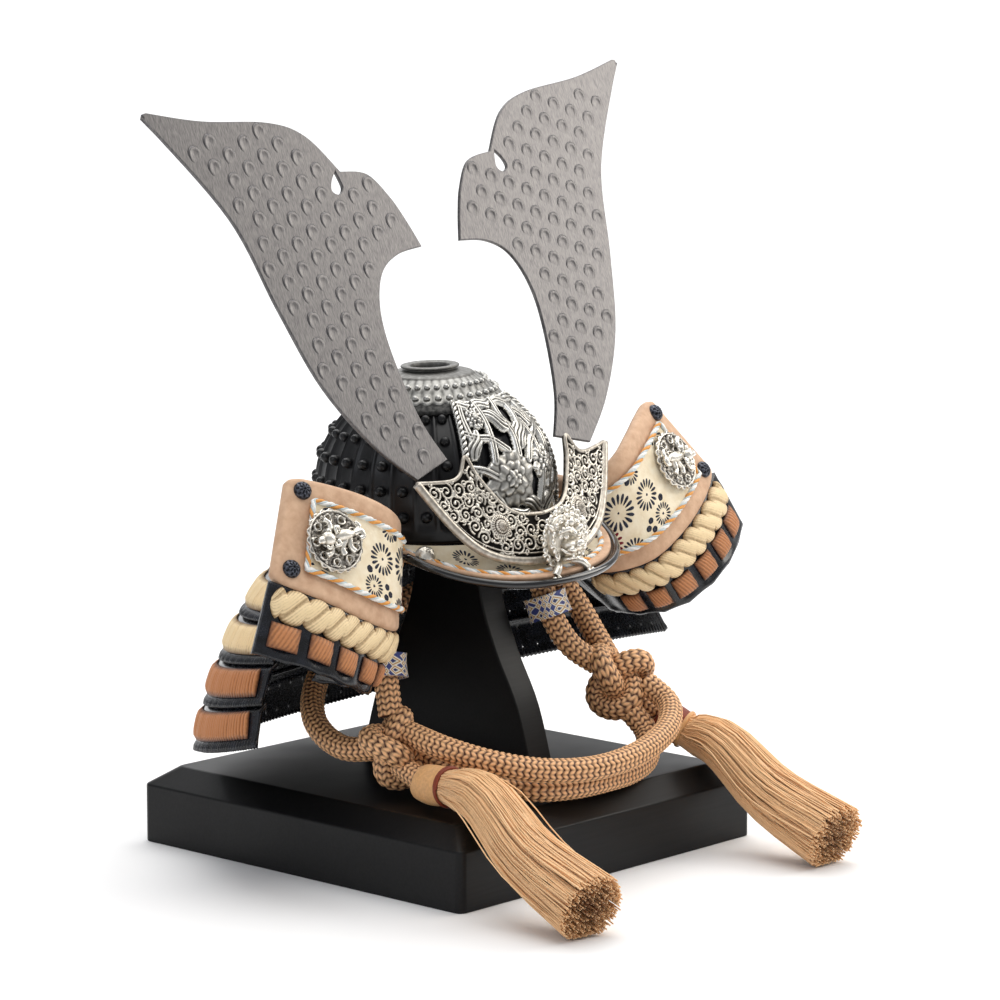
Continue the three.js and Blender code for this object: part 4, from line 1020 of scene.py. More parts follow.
def bowl_shell():
    columns, rows = BOWL_PLATES * 10, 64
    hole_run = WALL_RISE + BOWL_ARC * math.acos(CROWN_HOLE / BOWL_RADIUS)
    azimuth = np.arange(columns) / columns * TURN
    run = np.linspace(0, hole_run, rows + 1)
    place = (azimuth * BOWL_PLATES / TURN + 0.5) % 1 - 0.5
    seam = np.exp(-(place / 0.07) ** 2) * SEAM + 0.25 * np.cos(place * TURN / 2) ** 2 * (np.abs(place) > 0.1)
    belt = np.clip((5 - run) / 0.8, 0, 1)[:, None]
    high = np.where(belt > 0, 0.55 * belt + seam * (1 - belt), seam)
    outside = bowl_at(azimuth[None, :], run[:, None], high)
    inside = bowl_at(azimuth[None, :], run[::-1, None], -BOWL_WALL * np.ones((rows + 1, columns)))
    points = np.concatenate([outside.reshape(-1, 3), inside.reshape(-1, 3)])
    faces = grid_faces(2 * rows + 2, columns, closed_rows=True, closed_columns=True, flipped=True)
    shell = piece("bowl_ridged_shell", points, faces, BOWL_LACQUER)
    seat(recalculated(shell), "black_lacquer", ["bowl"])


RIVET_ROWS, FIRST_RIVET, RIVET_PITCH = 5, 8, 7.8
# The plates under the pierced front plate, out to this angle in degrees, have no rivets.
BARE_FRONT = 35


def bowl_rivets():
    flat, sizes = [], []
    for k in range(BOWL_PLATES):
        if min(k + 0.5, BOWL_PLATES - k - 0.5) * 360 / BOWL_PLATES <= BARE_FRONT:
            continue
        for row in range(RIVET_ROWS):
            flat.append((TURN * (k + 0.5) / BOWL_PLATES * BOWL_RADIUS, FIRST_RIVET + RIVET_PITCH * row))
            sizes.append((1.8, 1.8, 1.0) if row < 3 else (1.55, 1.55, 0.9))

    def onto_bowl(points):
        plate = TURN * BOWL_RADIUS / BOWL_PLATES
        centre = (np.floor(points[:, 0] / plate) + 0.5) * plate
        narrow = np.maximum(np.cos(np.maximum(0, points[:, 1] - WALL_RISE) / BOWL_ARC), 0.2)
        return bowl_at((centre + (points[:, 0] - centre) / narrow) / BOWL_RADIUS, points[:, 1], points[:, 2])

    rivets = repeated("bowl_rivets", dome(4, 12, 2.2), flat, 0, np.array(sizes), BOWL_LACQUER, bend=onto_bowl)
    seat(rivets, "black_lacquer")


bowl_shell()
bowl_rivets()


# ---------------------------------------------------------------- pierced peony plate

# Flowers: degrees from the front, run up the bowl and reach. Leaves: degrees, run, length, width and slant.
# Stems: points in degrees and run.
PEONIES = [(-7, 17.5, 7.4), (18.5, 20, 4.6), (-19, 37.5, 3.2)]
LEAVES = [(-24, 29, 4.6, 1.8, 1.2), (-4, 36, 5.4, 2.0, 2.5), (8, 31, 5.6, 2.2, 0.9), (19, 35.5, 5.4, 1.9, 2.4),
          (-22, 9.5, 4.6, 1.8, 0.5), (6, 8.5, 5, 1.9, 2.7), (27, 27, 4.4, 1.7, 1.7), (-5, 6.6, 4.6, 1.6, 0.1),
          (19, 9, 4.8, 1.9, 0.9), (-8, 42, 5.6, 1.6, 0.1), (12, 42, 5.6, 1.6, 3.0), (-27, 18.5, 4.2, 1.6, 1.6),
          (24, 42, 4, 1.5, 0.2), (-24, 42.6, 4, 1.4, 0), (28, 14, 4, 1.5, 1.5)]
STEMS = [[(-31, 33), (-22, 31), (-14, 30), (-6, 26)], [(-14, 43), (-13, 36), (-14, 28), (-15, 23)],
         [(3, 43), (0, 37), (2, 31), (0, 24)], [(31, 34), (22, 30), (12, 27), (6, 22)],
         [(-31, 22), (-22, 21), (-14, 18)], [(14, 34), (16, 27), (15, 17), (10, 6)],
         [(-18, 14), (-12, 8), (-14, 4)], [(31, 20), (24, 18), (20, 13), (26, 5)],
         [(14, 43), (13, 37), (8, 31)], [(26, 43), (24, 37), (27, 31)], [(-26, 43), (-27, 37), (-25, 30)]]
STEM_HALF_WIDTH = 1.3
# The plate's reach to each side in degrees, and its foot and top up the bowl.
PLATE_DEGREES, PLATE_LOW, PLATE_HIGH = 32, 4, 44


def raised(height, shape, level):
    """Lays a shape over what is already there, as overlapping petals lie."""
    return np.where(shape > 0, np.maximum(height, level + shape), height)


def peony_plate():
    per_degree = BOWL_RADIUS * DEGREE
    columns, rows = 150, 150
    x = np.linspace(-PLATE_DEGREES, PLATE_DEGREES, columns + 1)[None, :] * per_degree
    y = np.linspace(PLATE_LOW, PLATE_HIGH, rows + 1)[:, None]
    x, y = np.broadcast_arrays(x, y)
    height = np.zeros_like(x)
    for stem in STEMS:
        line = evenly([(degrees * per_degree, run) for degrees, run in soft_line(stem, 4)], 0.3)
        gap = np.min([np.hypot(x - px, y - py) for px, py in line], axis=0)
        groove = 0.4 * np.exp(-(gap / 0.28) ** 2)
        strap = np.sqrt(np.maximum(1 - (gap / STEM_HALF_WIDTH) ** 2, 0)) * 1.1 - groove
        height = raised(height, np.where(gap < STEM_HALF_WIDTH, strap + 0.05, 0), 0.4)
    for degrees, run, long, wide, way in LEAVES:
        dx, dy = x - degrees * per_degree, y - run
        along, side = dx * math.cos(way) + dy * math.sin(way), dy * math.cos(way) - dx * math.sin(way)
        side = side + 0.5 * np.sin(along * 0.7)
        body = 1 - (along / (long * 1.1)) ** 2 - (side / (wide * (1.35 - 0.4 * along / long))) ** 2
        folds = 0.34 * np.abs(np.cos(side * 2.2 + along * 0.2))
        height = raised(height, np.where(body > 0, np.sqrt(np.maximum(body, 0)) * 0.8 + folds, 0), 0.5)
    for degrees, run, reach in PEONIES:
        dx, dy = x - degrees * per_degree, y - run
        for ring, (far, size, count) in enumerate(((0.7, 0.5, 6), (0.36, 0.4, 4), (0.1, 0.26, 3))):
            for k in range(count):
                angle = TURN * (k + 0.37 * ring) / count + 0.3 + 0.2 * math.sin(5 * k + ring)
                cx, cy = reach * far * math.cos(angle), reach * far * math.sin(angle)
                out = (dx - cx) * math.cos(angle) + (dy - cy) * math.sin(angle)
                side = (dy - cy) * math.cos(angle) - (dx - cx) * math.sin(angle)
                wave = 1 + 0.1 * np.cos(5 * np.arctan2(side, out + 1e-6) + k)
                grown = reach * size * (1 + 0.1 * math.sin(3 * k))
                body = 1 - (np.hypot(out, side * 0.85) / (grown * wave)) ** 2
                ripple = 0.1 * np.cos(side * 7 / grown + k)
                petal = np.sqrt(np.maximum(body, 0)) * (0.7 + 0.35 * out / grown) + ripple
                height = raised(height, np.where(body > 0, np.maximum(petal, 0.03), 0), 0.5 + 0.42 * ring)
        heart = 1 - (np.hypot(dx, dy) / (reach * 0.16)) ** 2
        height = raised(height, np.where(heart > 0, heart * 0.5, 0), 1.7)
    for side in (-1, 1):
        edge = side * 30.4 * per_degree
        ribs = 0.5 * np.abs(np.cos((y + (x - edge) * side * 0.7) * math.pi / 1.7))
        rope = 1 - ((x - edge) / 1.5) ** 2
        height = raised(height, np.where(rope > 0, np.sqrt(np.maximum(rope, 0)) * (1.1 + ribs), 0), 0.3)
    for level in (PLATE_LOW, PLATE_HIGH):
        height = raised(height, np.where(np.abs(y - level) < 0.9, 0.5, 0), 0.3)
    bare = height < 0.1
    open_cell = bare[:-1, :-1] & bare[1:, 1:] & bare[1:, :-1] & bare[:-1, 1:]
    top = bowl_at(x / BOWL_RADIUS, y, 1.3 + np.clip(height, 0.25, 2.9))
    bottom = bowl_at(x / BOWL_RADIUS, y, np.full_like(x, 1.25))
    plate = piece("peony_plate", *pierced_sheet(top, bottom, open_cell), PEWTER)
    cavity_relief(recalculated(plate), 0.3, 2)
    seat(plate, "pewter", ["bowl_front_plate"])


peony_plate()


# ---------------------------------------------------------------- crown ornament

# Radius and height over the springing, then how deep the flutes and the scallops of the hem are.
CROWN_PROFILE = [
    (17.6, 20.9, 0, 0), (19.9, 22.2, 0.1, 0.2), (21.1, 23.8, 0.2, 0.8), (21.4, 25.4, 0.45, 0.9),
    (20.9, 26.6, 0.5, 0.4), (20.1, 27.2, 0.4, 0.1), (19.0, 27.9, 0.35, 0), (17.9, 28.8, 0.4, 0),
    (17.2, 29.6, 0.45, 0), (16.5, 30.3, 0.3, 0), (15.2, 31.0, 0.3, 0), (13.9, 31.9, 0.32, 0),
    (13.2, 32.5, 0.1, 0), (12.7, 32.9, 0, 0), (10.9, 33.4, 0, 0), (9.4, 33.6, 0, 0), (8.0, 33.9, 0, 0),
    (7.8, 34.3, 0, 0), (8.7, 34.6, 0, 0), (8.8, 35.1, 0, 0), (8.0, 35.3, 0, 0), (6.4, 35.1, 0, 0),
    (5.8, 34.0, 0, 0), (5.8, 28.0, 0, 0),
]
CROWN_PETALS = 36
# Rings of mesh on the crown's underside, which follows the bowl.
UNDER_RINGS = 12


def crown_tiers():
    sides = CROWN_PETALS * 8
    angle = np.arange(sides) / sides * TURN
    ridge = np.abs(np.cos(angle * CROWN_PETALS / 2))
    rings, relief = [], []
    for radius, rise, flute, scallop in soft_line(CROWN_PROFILE, 3):
        reach = radius - scallop * (1 - ridge) ** 1.5
        level = SPRING_Z + rise + 0.7 * flute * (ridge ** 0.7 - 0.6)
        rings.append(np.stack([reach * np.sin(angle), BOWL_Y - reach * np.cos(angle), level], axis=1))
        relief.append(0.5 + 0.25 * (flute > 0.2) - (0.7 * flute + 0.25 * scallop) * (1 - ridge) ** 1.2)
    under = bowl_at(angle[None, :], np.linspace(59.3, 40.5, UNDER_RINGS)[:, None], 1.35)
    points = np.concatenate([np.concatenate(rings), under.reshape(-1, 3)])
    relief = [np.broadcast_to(r, sides) for r in relief]
    relief = np.concatenate(relief + [np.full(UNDER_RINGS * sides, 0.2)])
    faces = grid_faces(len(rings) + UNDER_RINGS, sides, closed_rows=True, closed_columns=True)
    crown = piece("crown_petals", points, faces, CROWN_STEEL, relief=relief)
    seat(recalculated(crown), "pewter", ["crown_ornament"])


def crown_beads():
    flat, sizes = [], []
    for radius, rise, size in ((19.6, 27.9, 0.95), (16.5, 30.7, 0.85)):
        for k in range(CROWN_PETALS):
            angle = TURN * k / CROWN_PETALS
            flat.append((radius * math.sin(angle), BOWL_Y - radius * math.cos(angle), SPRING_Z + rise))
            sizes.append((size * 1.15, size * 1.15, size))
    beads = repeated("crown_beads", dome(3, 10, 1.0), flat, 0, np.array(sizes), CROWN_STEEL)
    cavity_relief(beads, 0.35, 0)
    seat(beads, "pewter")


crown_tiers()
crown_beads()


# ---------------------------------------------------------------- visor

# Half the visor sheet's thickness, how far the leather's middle lies over it, and half the leather's.
VISOR_HALF, VISOR_SKIN, SKIN_HALF = 0.7, 0.75, 0.65


def visor():
    plate, faces = sheet_on(visor_patch, 96, 24, -VISOR_HALF, VISOR_HALF)
    rim, rim_faces = tube_mesh(visor_patch.at(np.linspace(0, 1, 120), np.ones(120)), 1.2, 16)
    made = piece("visor_sheet", *join([(plate, faces), (rim, rim_faces)]), RIM_LACQUER)
    seat(made, "black_lacquer", ["visor_plate"])
    skin = VISOR_HALF + VISOR_SKIN
    cover, cover_faces = sheet_on(visor_patch, 96, 20, skin - 0.6, skin + SKIN_HALF,
                                  u=(0.02, 0.98), v=(0.04, 0.74))
    seat(piece("visor_skin", cover, cover_faces, PRINTED_LEATHER), "printed_leather", ["visor_leather"])

    def rolled(u, v):
        return skin + 0.7 + 0.25 * np.sin(np.clip((v - 0.745) / 0.17, 0, 1) * math.pi)

    tan, tan_faces = sheet_on(visor_patch, 96, 6, skin - 0.6, rolled, u=(0.01, 0.99), v=(0.745, 0.915))
    seat(piece("visor_edging", tan, tan_faces, TAN_LEATHER), "tan_leather", ["visor_border"])


visor()


# ---------------------------------------------------------------- horns

# The horn's outline in stretches that meet at its corners, from its tip round and back to it.
HORN_EDGE = [
    [(99.6, 111.2), (80, 107), (55, 104.3), (42, 99), (32.3, 87.3)],
    [(32.3, 87.3), (22, 85.5), (15.5, 78), (11.5, 70), (8.3, 61.6)],
    [(8.3, 61.6), (19, 60.3), (27.5, 55.5), (32.5, 45), (33, 31), (29.5, 11), (23, -3)],
    [(38, -6), (51.5, 7), (64, 26), (72, 50), (80, 78), (99.6, 107.4), (100.9, 109.6), (100.9, 110.9),
     (99.6, 111.2)],
]
HORN_DROP = [(34.3, 87.5), (36.8, 84.6), (37.6, 81.8), (35.2, 80.6), (33.2, 82.6), (34.3, 87.5)]


HORN_LEAN = math.atan(0.365)
HORN_THICKNESS = 1.2
# The stamped scales' rows slant by this angle; their spacing along a row and from row to row.
SCALE_SLANT, SCALE_PITCH, SCALE_ROW = 7 * DEGREE, 13.0, 3.75


def horn_place(points):
    """From the horn's own plane, x and up the slope and height over it, to the helmet."""
    x, up, high = np.asarray(points, float).T
    sine, cosine = math.sin(HORN_LEAN), math.cos(HORN_LEAN)
    return np.stack([x, -22.2 + up * sine - high * cosine, 124 + up * cosine + high * sine], axis=1)


def cut_sheet(outlines, thickness, edge):
    """A flat sheet cut to outlines, the first its outside, with its edges rounded."""
    drawing = bpy.data.curves.new("drawing", "CURVE")
    drawing.dimensions = "2D"
    drawing.fill_mode = "BOTH"
    drawing.extrude = thickness / 2 - edge
    drawing.bevel_depth = edge
    drawing.bevel_resolution = 2
    drawing.offset = -edge
    for outline in outlines:
        spline = drawing.splines.new("POLY")
        spline.points.add(len(outline) - 1)
        spline.points.foreach_set("co", [c for x, y in outline for c in (x, y, 0, 1)])
        spline.use_cyclic_u = True
    holder = put("drawing", drawing)
    mesh = baked(holder)
    work = bmesh.new()
    work.from_mesh(mesh)
    bmesh.ops.remove_doubles(work, verts=work.verts, dist=1e-4)
    bmesh.ops.recalc_face_normals(work, faces=work.faces)
    points = np.array([v.co[:] for v in work.verts])
    faces = [tuple(v.index for v in f.verts) for f in work.faces]
    work.free()
    bpy.data.objects.remove(holder)
    return points, faces


def inside(points, outline):
    """Which flat points lie inside a closed outline."""
    outline = np.asarray(outline)
    x, y = np.asarray(points)[:, 0:1], np.asarray(points)[:, 1:2]
    x0, y0 = outline[:, 0], outline[:, 1]
    x1, y1 = np.roll(x0, -1), np.roll(y0, -1)
    with np.errstate(divide="ignore", invalid="ignore"):
        crossing = ((y0 > y) != (y1 > y)) & (x < (x1 - x0) * (y - y0) / (y1 - y0) + x0)
    return crossing.sum(1) % 2 == 1


def distance_to(points, outline):
    outline = np.asarray(outline)
    start, step = outline, np.roll(outline, -1, 0) - outline
    offset = np.asarray(points)[:, None] - start[None]
    share = np.clip((offset * step).sum(-1) / np.maximum((step ** 2).sum(-1), 1e-9), 0, 1)
    return np.linalg.norm(offset - step * share[..., None], axis=-1).min(1)


def stamped_scale(sides=20):
    """One scale of the stamped pattern: an oval with a ridge round its top that fades toward its foot."""
    angle = np.arange(sides) / sides * TURN
    wide, tall = 3.0 * np.sin(angle) * (0.85 + 0.15 * np.cos(angle)), 2.9 * np.cos(angle)
    crest = (0.5 + 0.5 * np.cos(angle - 0.5)) ** 1.2
    steps = ((1.0, 0, 0), (0.9, 0.3, 0), (0.76, 0.42, 0.02), (0.55, 0.16, 0.06), (0.3, 0, 0.08))
    rings = [np.stack([wide * far, tall * far, -0.05 + high * crest + dip], axis=1) for far, high, dip in steps]
    points = np.concatenate(rings + [np.array([(0, 0, 0.04)])])
    faces = grid_faces(5, sides, closed_columns=True, flipped=True)
    faces += [(4 * sides + (i + 1) % sides, 4 * sides + i, 5 * sides) for i in range(sides)]
    faces.append(tuple(range(sides)))
    return points, faces


def horns():
    outline = []
    for stretch in HORN_EDGE:
        outline += [tuple(p) for p in soft_line(stretch, 8)][:-1]
    outline = [p for i, p in enumerate(outline) if i == 0 or math.dist(p, outline[i - 1]) > 0.05]
    drop = [tuple(p) for p in soft_line(HORN_DROP, 6)][:-1]
    plate, faces = cut_sheet([outline, drop], HORN_THICKNESS, 0.3)
    slant = SCALE_SLANT
    rows = []
    for j in range(-4, 34):
        for i in range(-2, 12):
            x, y = SCALE_PITCH * (i + 0.5 * (j % 2)), SCALE_ROW * j
            rows.append((x * math.cos(slant) - y * math.sin(slant),
                         x * math.sin(slant) + y * math.cos(slant)))
    keep = inside(rows, outline) & ~inside(rows, drop)
    keep &= (distance_to(rows, outline) > 3.0) & (distance_to(rows, drop) > 2.9)
    places = [(x, y, HORN_THICKNESS / 2) for (x, y), ok in zip(rows, keep) if ok]
    for side, mirror in SIDES:
        sheet = piece(f"horn_{side}_sheet", horn_place(plate), faces, HORN_METAL, mirror=mirror, smooth=False)
        seat(recalculated(sheet), "horn_metal", [f"horn_{side}"])
        scales = repeated(f"horn_{side}_scales", stamped_scale(), places, slant, 1.0, HORN_METAL,
                          bend=horn_place, mirror=mirror)
        seat(scales, "horn_metal")


horns()


# ---------------------------------------------------------------- horn stand

STAND_LOW = [(0, 91), (9.5, 91.6), (19, 93.7), (26.5, 97.6), (32.4, 104), (37.6, 112), (41, 118)]
STAND_TOP = [(0, 104), (8.4, 105), (13.3, 107.8), (17, 112.8), (20, 118), (22, 123.3), (25.5, 118.6),
             (30, 117.2), (41, 118.1)]
STAND_HALF_WIDTH = 41


def scrolls():
    """Tight scrolls with curled leaf tips, packed over one half of the mount: lines and their half widths."""
    lines = []
    way = 1
    for row in range(9):
        for column in range(10):
            x, z = 2.0 + 4.3 * column + 2.15 * (row % 2), 93.0 + 3.6 * row
            low, high = read_off(STAND_LOW, x), read_off(STAND_TOP, x)
            way = -way
            if x > 39.5 or z < low + 3.2 or z > high - 1.2:
                continue
            reach, start = RANDOM.uniform(1.9, 2.5), RANDOM.uniform(0, TURN)
            lines.append((spiral(x, z, reach, start, way, 1.5), 0.36, 0.52))
            for step in (0.25, 0.5, 0.75):
                angle = start + TURN * step * way
                tip = (x + (reach + 0.2) * math.cos(angle), z + (reach + 0.2) * math.sin(angle))
                lines.append((spiral(*tip, RANDOM.uniform(0.7, 1.0), angle, way, 0.75, 14), 0.26, 0.36))
    return lines


def spiral(x, z, reach, start, way, turns, steps=40):
    share = np.linspace(0, 1, steps)
    angle = start + way * TURN * turns * share
    reach = reach * (1 - 0.85 * share)
    return np.stack([x + reach * np.cos(angle), z + reach * np.sin(angle)], axis=1)


def horn_stand():
    columns, rows = 420, 104
    x = np.linspace(-STAND_HALF_WIDTH, STAND_HALF_WIDTH, columns + 1)
    low = read_off(soft_line(STAND_LOW, 6), np.abs(x))
    high = read_off(STAND_TOP, np.abs(x))
    z = low[None, :] + (high - low)[None, :] * np.linspace(0, 1, rows + 1)[:, None]
    x = np.broadcast_to(x, z.shape)
    flat = np.stack([np.abs(x).ravel(), z.ravel()], axis=1)
    rise = np.zeros(len(flat))
    for line, thick, ball in scrolls():
        near = np.abs(flat - line.mean(0)).max(1) < 3.6
        gap = np.linalg.norm(flat[near][:, None] - line[None], axis=-1)
        body = 1 - (gap.min(1) / (thick * (1 - 0.35 * gap.argmin(1) / len(line)))) ** 2
        tip = 1 - (gap[:, -1] / ball) ** 2
        cast = np.sqrt(np.maximum(np.maximum(body, tip), 0)) * (0.65 + 0.15 * (tip > 0))
        rise[near] = np.maximum(rise[near], cast)
    rise = rise.reshape(z.shape)
    inner_line = np.exp(-((z - low[None, :] - 2.3) / 0.28) ** 2) * 0.6
    rise = np.maximum(rise, inner_line)
    top = stand_point(x, z, 0.75 + rise)
    bottom = stand_point(x, z, np.full_like(z, -0.7))
    body, faces = closed_sheet(top, bottom)
    relief = np.concatenate([np.clip(rise * 1.7 - 0.12, 0, 1).ravel(), np.full(z.size, 0.3)])
    seat(recalculated(piece("karakusa_mount", body, faces, ANTIQUE_SILVER, relief=relief)), "antique_silver",
         ["horn_stand"])
    edge = stand_point(x[0], low, 0.6)
    parts = [tube_mesh(evenly(edge, 0.8), 1.35, 14)]
    for side in (-1, 1):
        spots = evenly(np.array(soft_line(STAND_TOP, 6)) * (side, 1), 0.6)
        parts.append(tube_mesh(stand_point(spots[:, 0], spots[:, 1], 0.7), 0.62, 10))
    points, faces = join(parts)
    rims = piece("karakusa_mount_rims", points, faces, ANTIQUE_SILVER, relief=np.full(len(points), 0.62))
    seat(recalculated(rims), "antique_silver")


ROSETTE_X, ROSETTE_Z, ROSETTE_RADIUS = 17, 102.5, 3.55
# Share of the way in from the rim, and the height there.
ROSETTE_PROFILE = [(0, 0), (0.04, 0.35), (0.3, 0.6), (0.42, 0.45), (0.5, 1.0), (0.62, 1.1), (0.72, 1.5),
                   (1, 2.3)]


def rosettes():
    """Layered chrysanthemum bosses: petals, a beaded ring and a pointed heart."""
    sides, rows = 96, 26
    angle = np.arange(sides) / sides * TURN

    def ring(radius, height):
        return stand_point(ROSETTE_X + radius * np.cos(angle), ROSETTE_Z + radius * np.sin(angle), height)

    rings = [ring(ROSETTE_RADIUS, 0.5)]
    for share in np.linspace(0, 1, rows + 1):
        petals = 0.18 * np.abs(np.cos(angle * 8)) * (0.35 < share < 1)
        rim = 0.22 * np.abs(np.cos(angle * 14)) * (0.04 <= share < 0.34)
        level = 0.9 + read_off(ROSETTE_PROFILE, share)
        rings.append(ring(ROSETTE_RADIUS * (1 - share), level + petals + rim))
    points = np.concatenate(rings)
    faces = grid_faces(rows + 2, sides, closed_columns=True)
    faces.append(tuple(reversed(range(sides))))
    for side, mirror in SIDES:
        made = piece(f"mount_rosette_{side}", points, faces, ANTIQUE_SILVER, mirror=mirror)
        cavity_relief(recalculated(made), 0.5)
        seat(made, "antique_silver")


horn_stand()
rosettes()


# ---------------------------------------------------------------- cast heads and beasts

def cast_lumps(lumps, voxel=0.3, smooth=3):
    """Ellipsoids and tubes melted together into one cast form; sizes and places in millimetres."""
    work = bmesh.new()
    for lump in lumps:
        if len(lump) == 2:
            path, radii = np.array(lump[0], float), lump[1]
            line = route(path, 24)
            thick = np.interp(np.linspace(0, 1, 24), np.linspace(0, 1, len(radii)), radii)
            points, faces = tube_mesh(line, np.repeat(thick[:, None], 10, 1), 10)
        else:
            centre, size, degrees = lump
            ball = bmesh.new()
            bmesh.ops.create_icosphere(ball, subdivisions=3, radius=1)
            points = turned([np.array(v.co[:]) * size for v in ball.verts], degrees) + np.array(centre)
            faces = [tuple(v.index for v in f.verts) for f in ball.faces]
            ball.free()
        corners = [work.verts.new(tuple(p)) for p in points]
        for face in faces:
            work.faces.new([corners[i] for i in face])
    bmesh.ops.recalc_face_normals(work, faces=work.faces)
    mesh = bpy.data.meshes.new("lumps")
    work.to_mesh(mesh)
    work.free()
    holder = put("lumps", mesh)
    melt = holder.modifiers.new("melt", "REMESH")
    melt.mode = "VOXEL"
    melt.voxel_size = voxel
    even = holder.modifiers.new("even", "SMOOTH")
    even.iterations = smooth
    even.factor = 0.5
    result = baked(holder)
    points = np.array([v.co[:] for v in result.vertices])
    faces = [tuple(p.vertices) for p in result.polygons]
    bpy.data.objects.remove(holder)
    bpy.data.meshes.remove(result)
    return points, faces


def curl(centre, reach, start, way, thick, lift=0.8, turns=1.25):
    """A lock of mane: a small spiral standing forward to its middle."""
    x, y, z = centre
    path = []
    for share in np.linspace(0, 1, 9):
        angle = start + way * TURN * turns * share
        path.append((x + reach * (1 - 0.8 * share) * math.cos(angle), y - lift * share,
                     z + reach * (1 - 0.8 * share) * math.sin(angle)))
    return path, (thick, thick, thick * 0.8, thick * 0.7)


# Each ring of curls: radius, count, a curl's reach and thickness, how far forward it stands, and the sine
# of the lowest angle that has curls.
MANE_RINGS = [(9.0, 22, 1.4, 0.5, -46.4, -0.85), (7.0, 18, 1.3, 0.48, -48.2, -0.8),
              (5.3, 15, 1.0, 0.42, -49.4, -0.1)]


def crest_lion():
    """The lion-dog's head at the foot of the horns: brows, snub nose, open jaw, curled mane and forepaws."""
    lumps = [
        ((0, -45.6, 98.0), (6.4, 3.2, 6.6), (0, 0, 0)), ((0, -49.6, 96), (3.4, 3.6, 2.2), (10, 0, 0)),
        ((0, -53.2, 97.0), (1.7, 1.0, 1.0), (0, 0, 0)), ((0, -49.2, 91.9), (3.0, 3.0, 0.9), (-12, 0, 0)),
        ((0, -50.0, 100.4), (0.8, 2.2, 0.8), (30, 0, 0)), ((0, -49.8, 102.6), (1.1, 0.8, 1.3), (0, 0, 0)),
    ]
    for side in (-1, 1):
        lumps += [
            ([(side * 0.9, -50.6, 100.0), (side * 2.6, -51.1, 101.2), (side * 4.6, -49.9, 100.4)],
             (0.55, 0.85, 0.45)),
            ((side * 2.7, -50.2, 98.7), (0.95, 0.7, 0.75), (0, 0, 0)),
            ((side * 1.1, -53.5, 96.4), (0.7, 0.6, 0.5), (0, 0, 0)),
            ((side * 2.2, -51.8, 95.2), (1.5, 1.3, 1.0), (0, 0, 0)),
            ([(side * 1.0, -52.2, 94.3), (side * 3.0, -51.2, 94.0), (side * 4.4, -49.4, 95.4)],
             (0.4, 0.5, 0.4)),
            ((side * 2.1, -52.1, 93.4), (0.4, 0.4, 0.9), (0, side * 6, 0)),
            ((side * 1.7, -51.3, 92.6), (0.35, 0.35, 0.7), (0, 0, 0)),
            ((side * 6.6, -48.2, 101.4), (0.9, 0.8, 1.9), (0, side * 40, 0)),
            ([(side * 3, -46.6, 90.5), (side * 5.0, -48.8, 90.0), (side * 7.2, -49.4, 87.9)],
             (1.3, 1.2, 1.3)),
            ((side * 6.4, -50.4, 87.3), (0.5, 0.8, 0.55), (0, 0, 0)),
            ((side * 7.4, -50.4, 87.1), (0.5, 0.8, 0.55), (0, 0, 0)),
            ((side * 8.4, -50.1, 87.4), (0.5, 0.8, 0.55), (0, 0, 0)),
        ]
    for far, count, reach, thick, front, lowest in MANE_RINGS:
        for k in range(count):
            angle = TURN * (k + 0.5) / count - TURN / 4
            if math.sin(angle) < lowest:
                continue
            way = 1 if k % 2 else -1
            middle = (far * math.cos(angle), front, 97.6 + far * math.sin(angle))
            lumps.append(curl(middle, reach, angle + way, way, thick, 1.0, 1.1))
    points, faces = cast_lumps(lumps, 0.21, 1)
    made = piece("crest_lion", points, faces, BRIGHT_SILVER)
    cavity_relief(made, 0.45, 2)
    seat(made, "bright_silver", ["crest_head"])


crest_lion()


# ---------------------------------------------------------------- turn-backs

PRINT_U, PRINT_V = (0.06, 0.9), (0.2, 0.8)
PRINT_HEIGHT = 1.55 + 0.7
# Places on the print by share along and up, and each mark's reach: whole and cut-off bursts, then blossoms.
BURSTS = [(0.14, 0.7, 5.4), (0.3, 0.18, 5.4), (0.405, 0.6, 6.0), (0.44, -0.04, 4.0), (0.61, 0.56, 4.5),
          (0.56, 1.0, 3.6), (0.66, 0.16, 3.2), (0.12, 0.0, 4.4), (0.0, 0.4, 4.6), (0.98, 0.1, 4.6),
          (0.9, 1.0, 4.0)]
# No mark's middle comes nearer the print's edge than this, and this burst is the red one.
PRINT_MARGIN, RED_BURST = 0.7, 1
BLOSSOMS = [(0.28, 0.9, 1.9), (0.24, 0.66, 1.5), (0.55, 0.14, 0.8), (0.575, 0.22, 0.8), (0.58, 0.08, 0.8),
            (0.69, 0.36, 0.9), (0.51, 0.93, 0.9), (0.2, 0.3, 1.2), (0.05, 0.9, 1.3)]


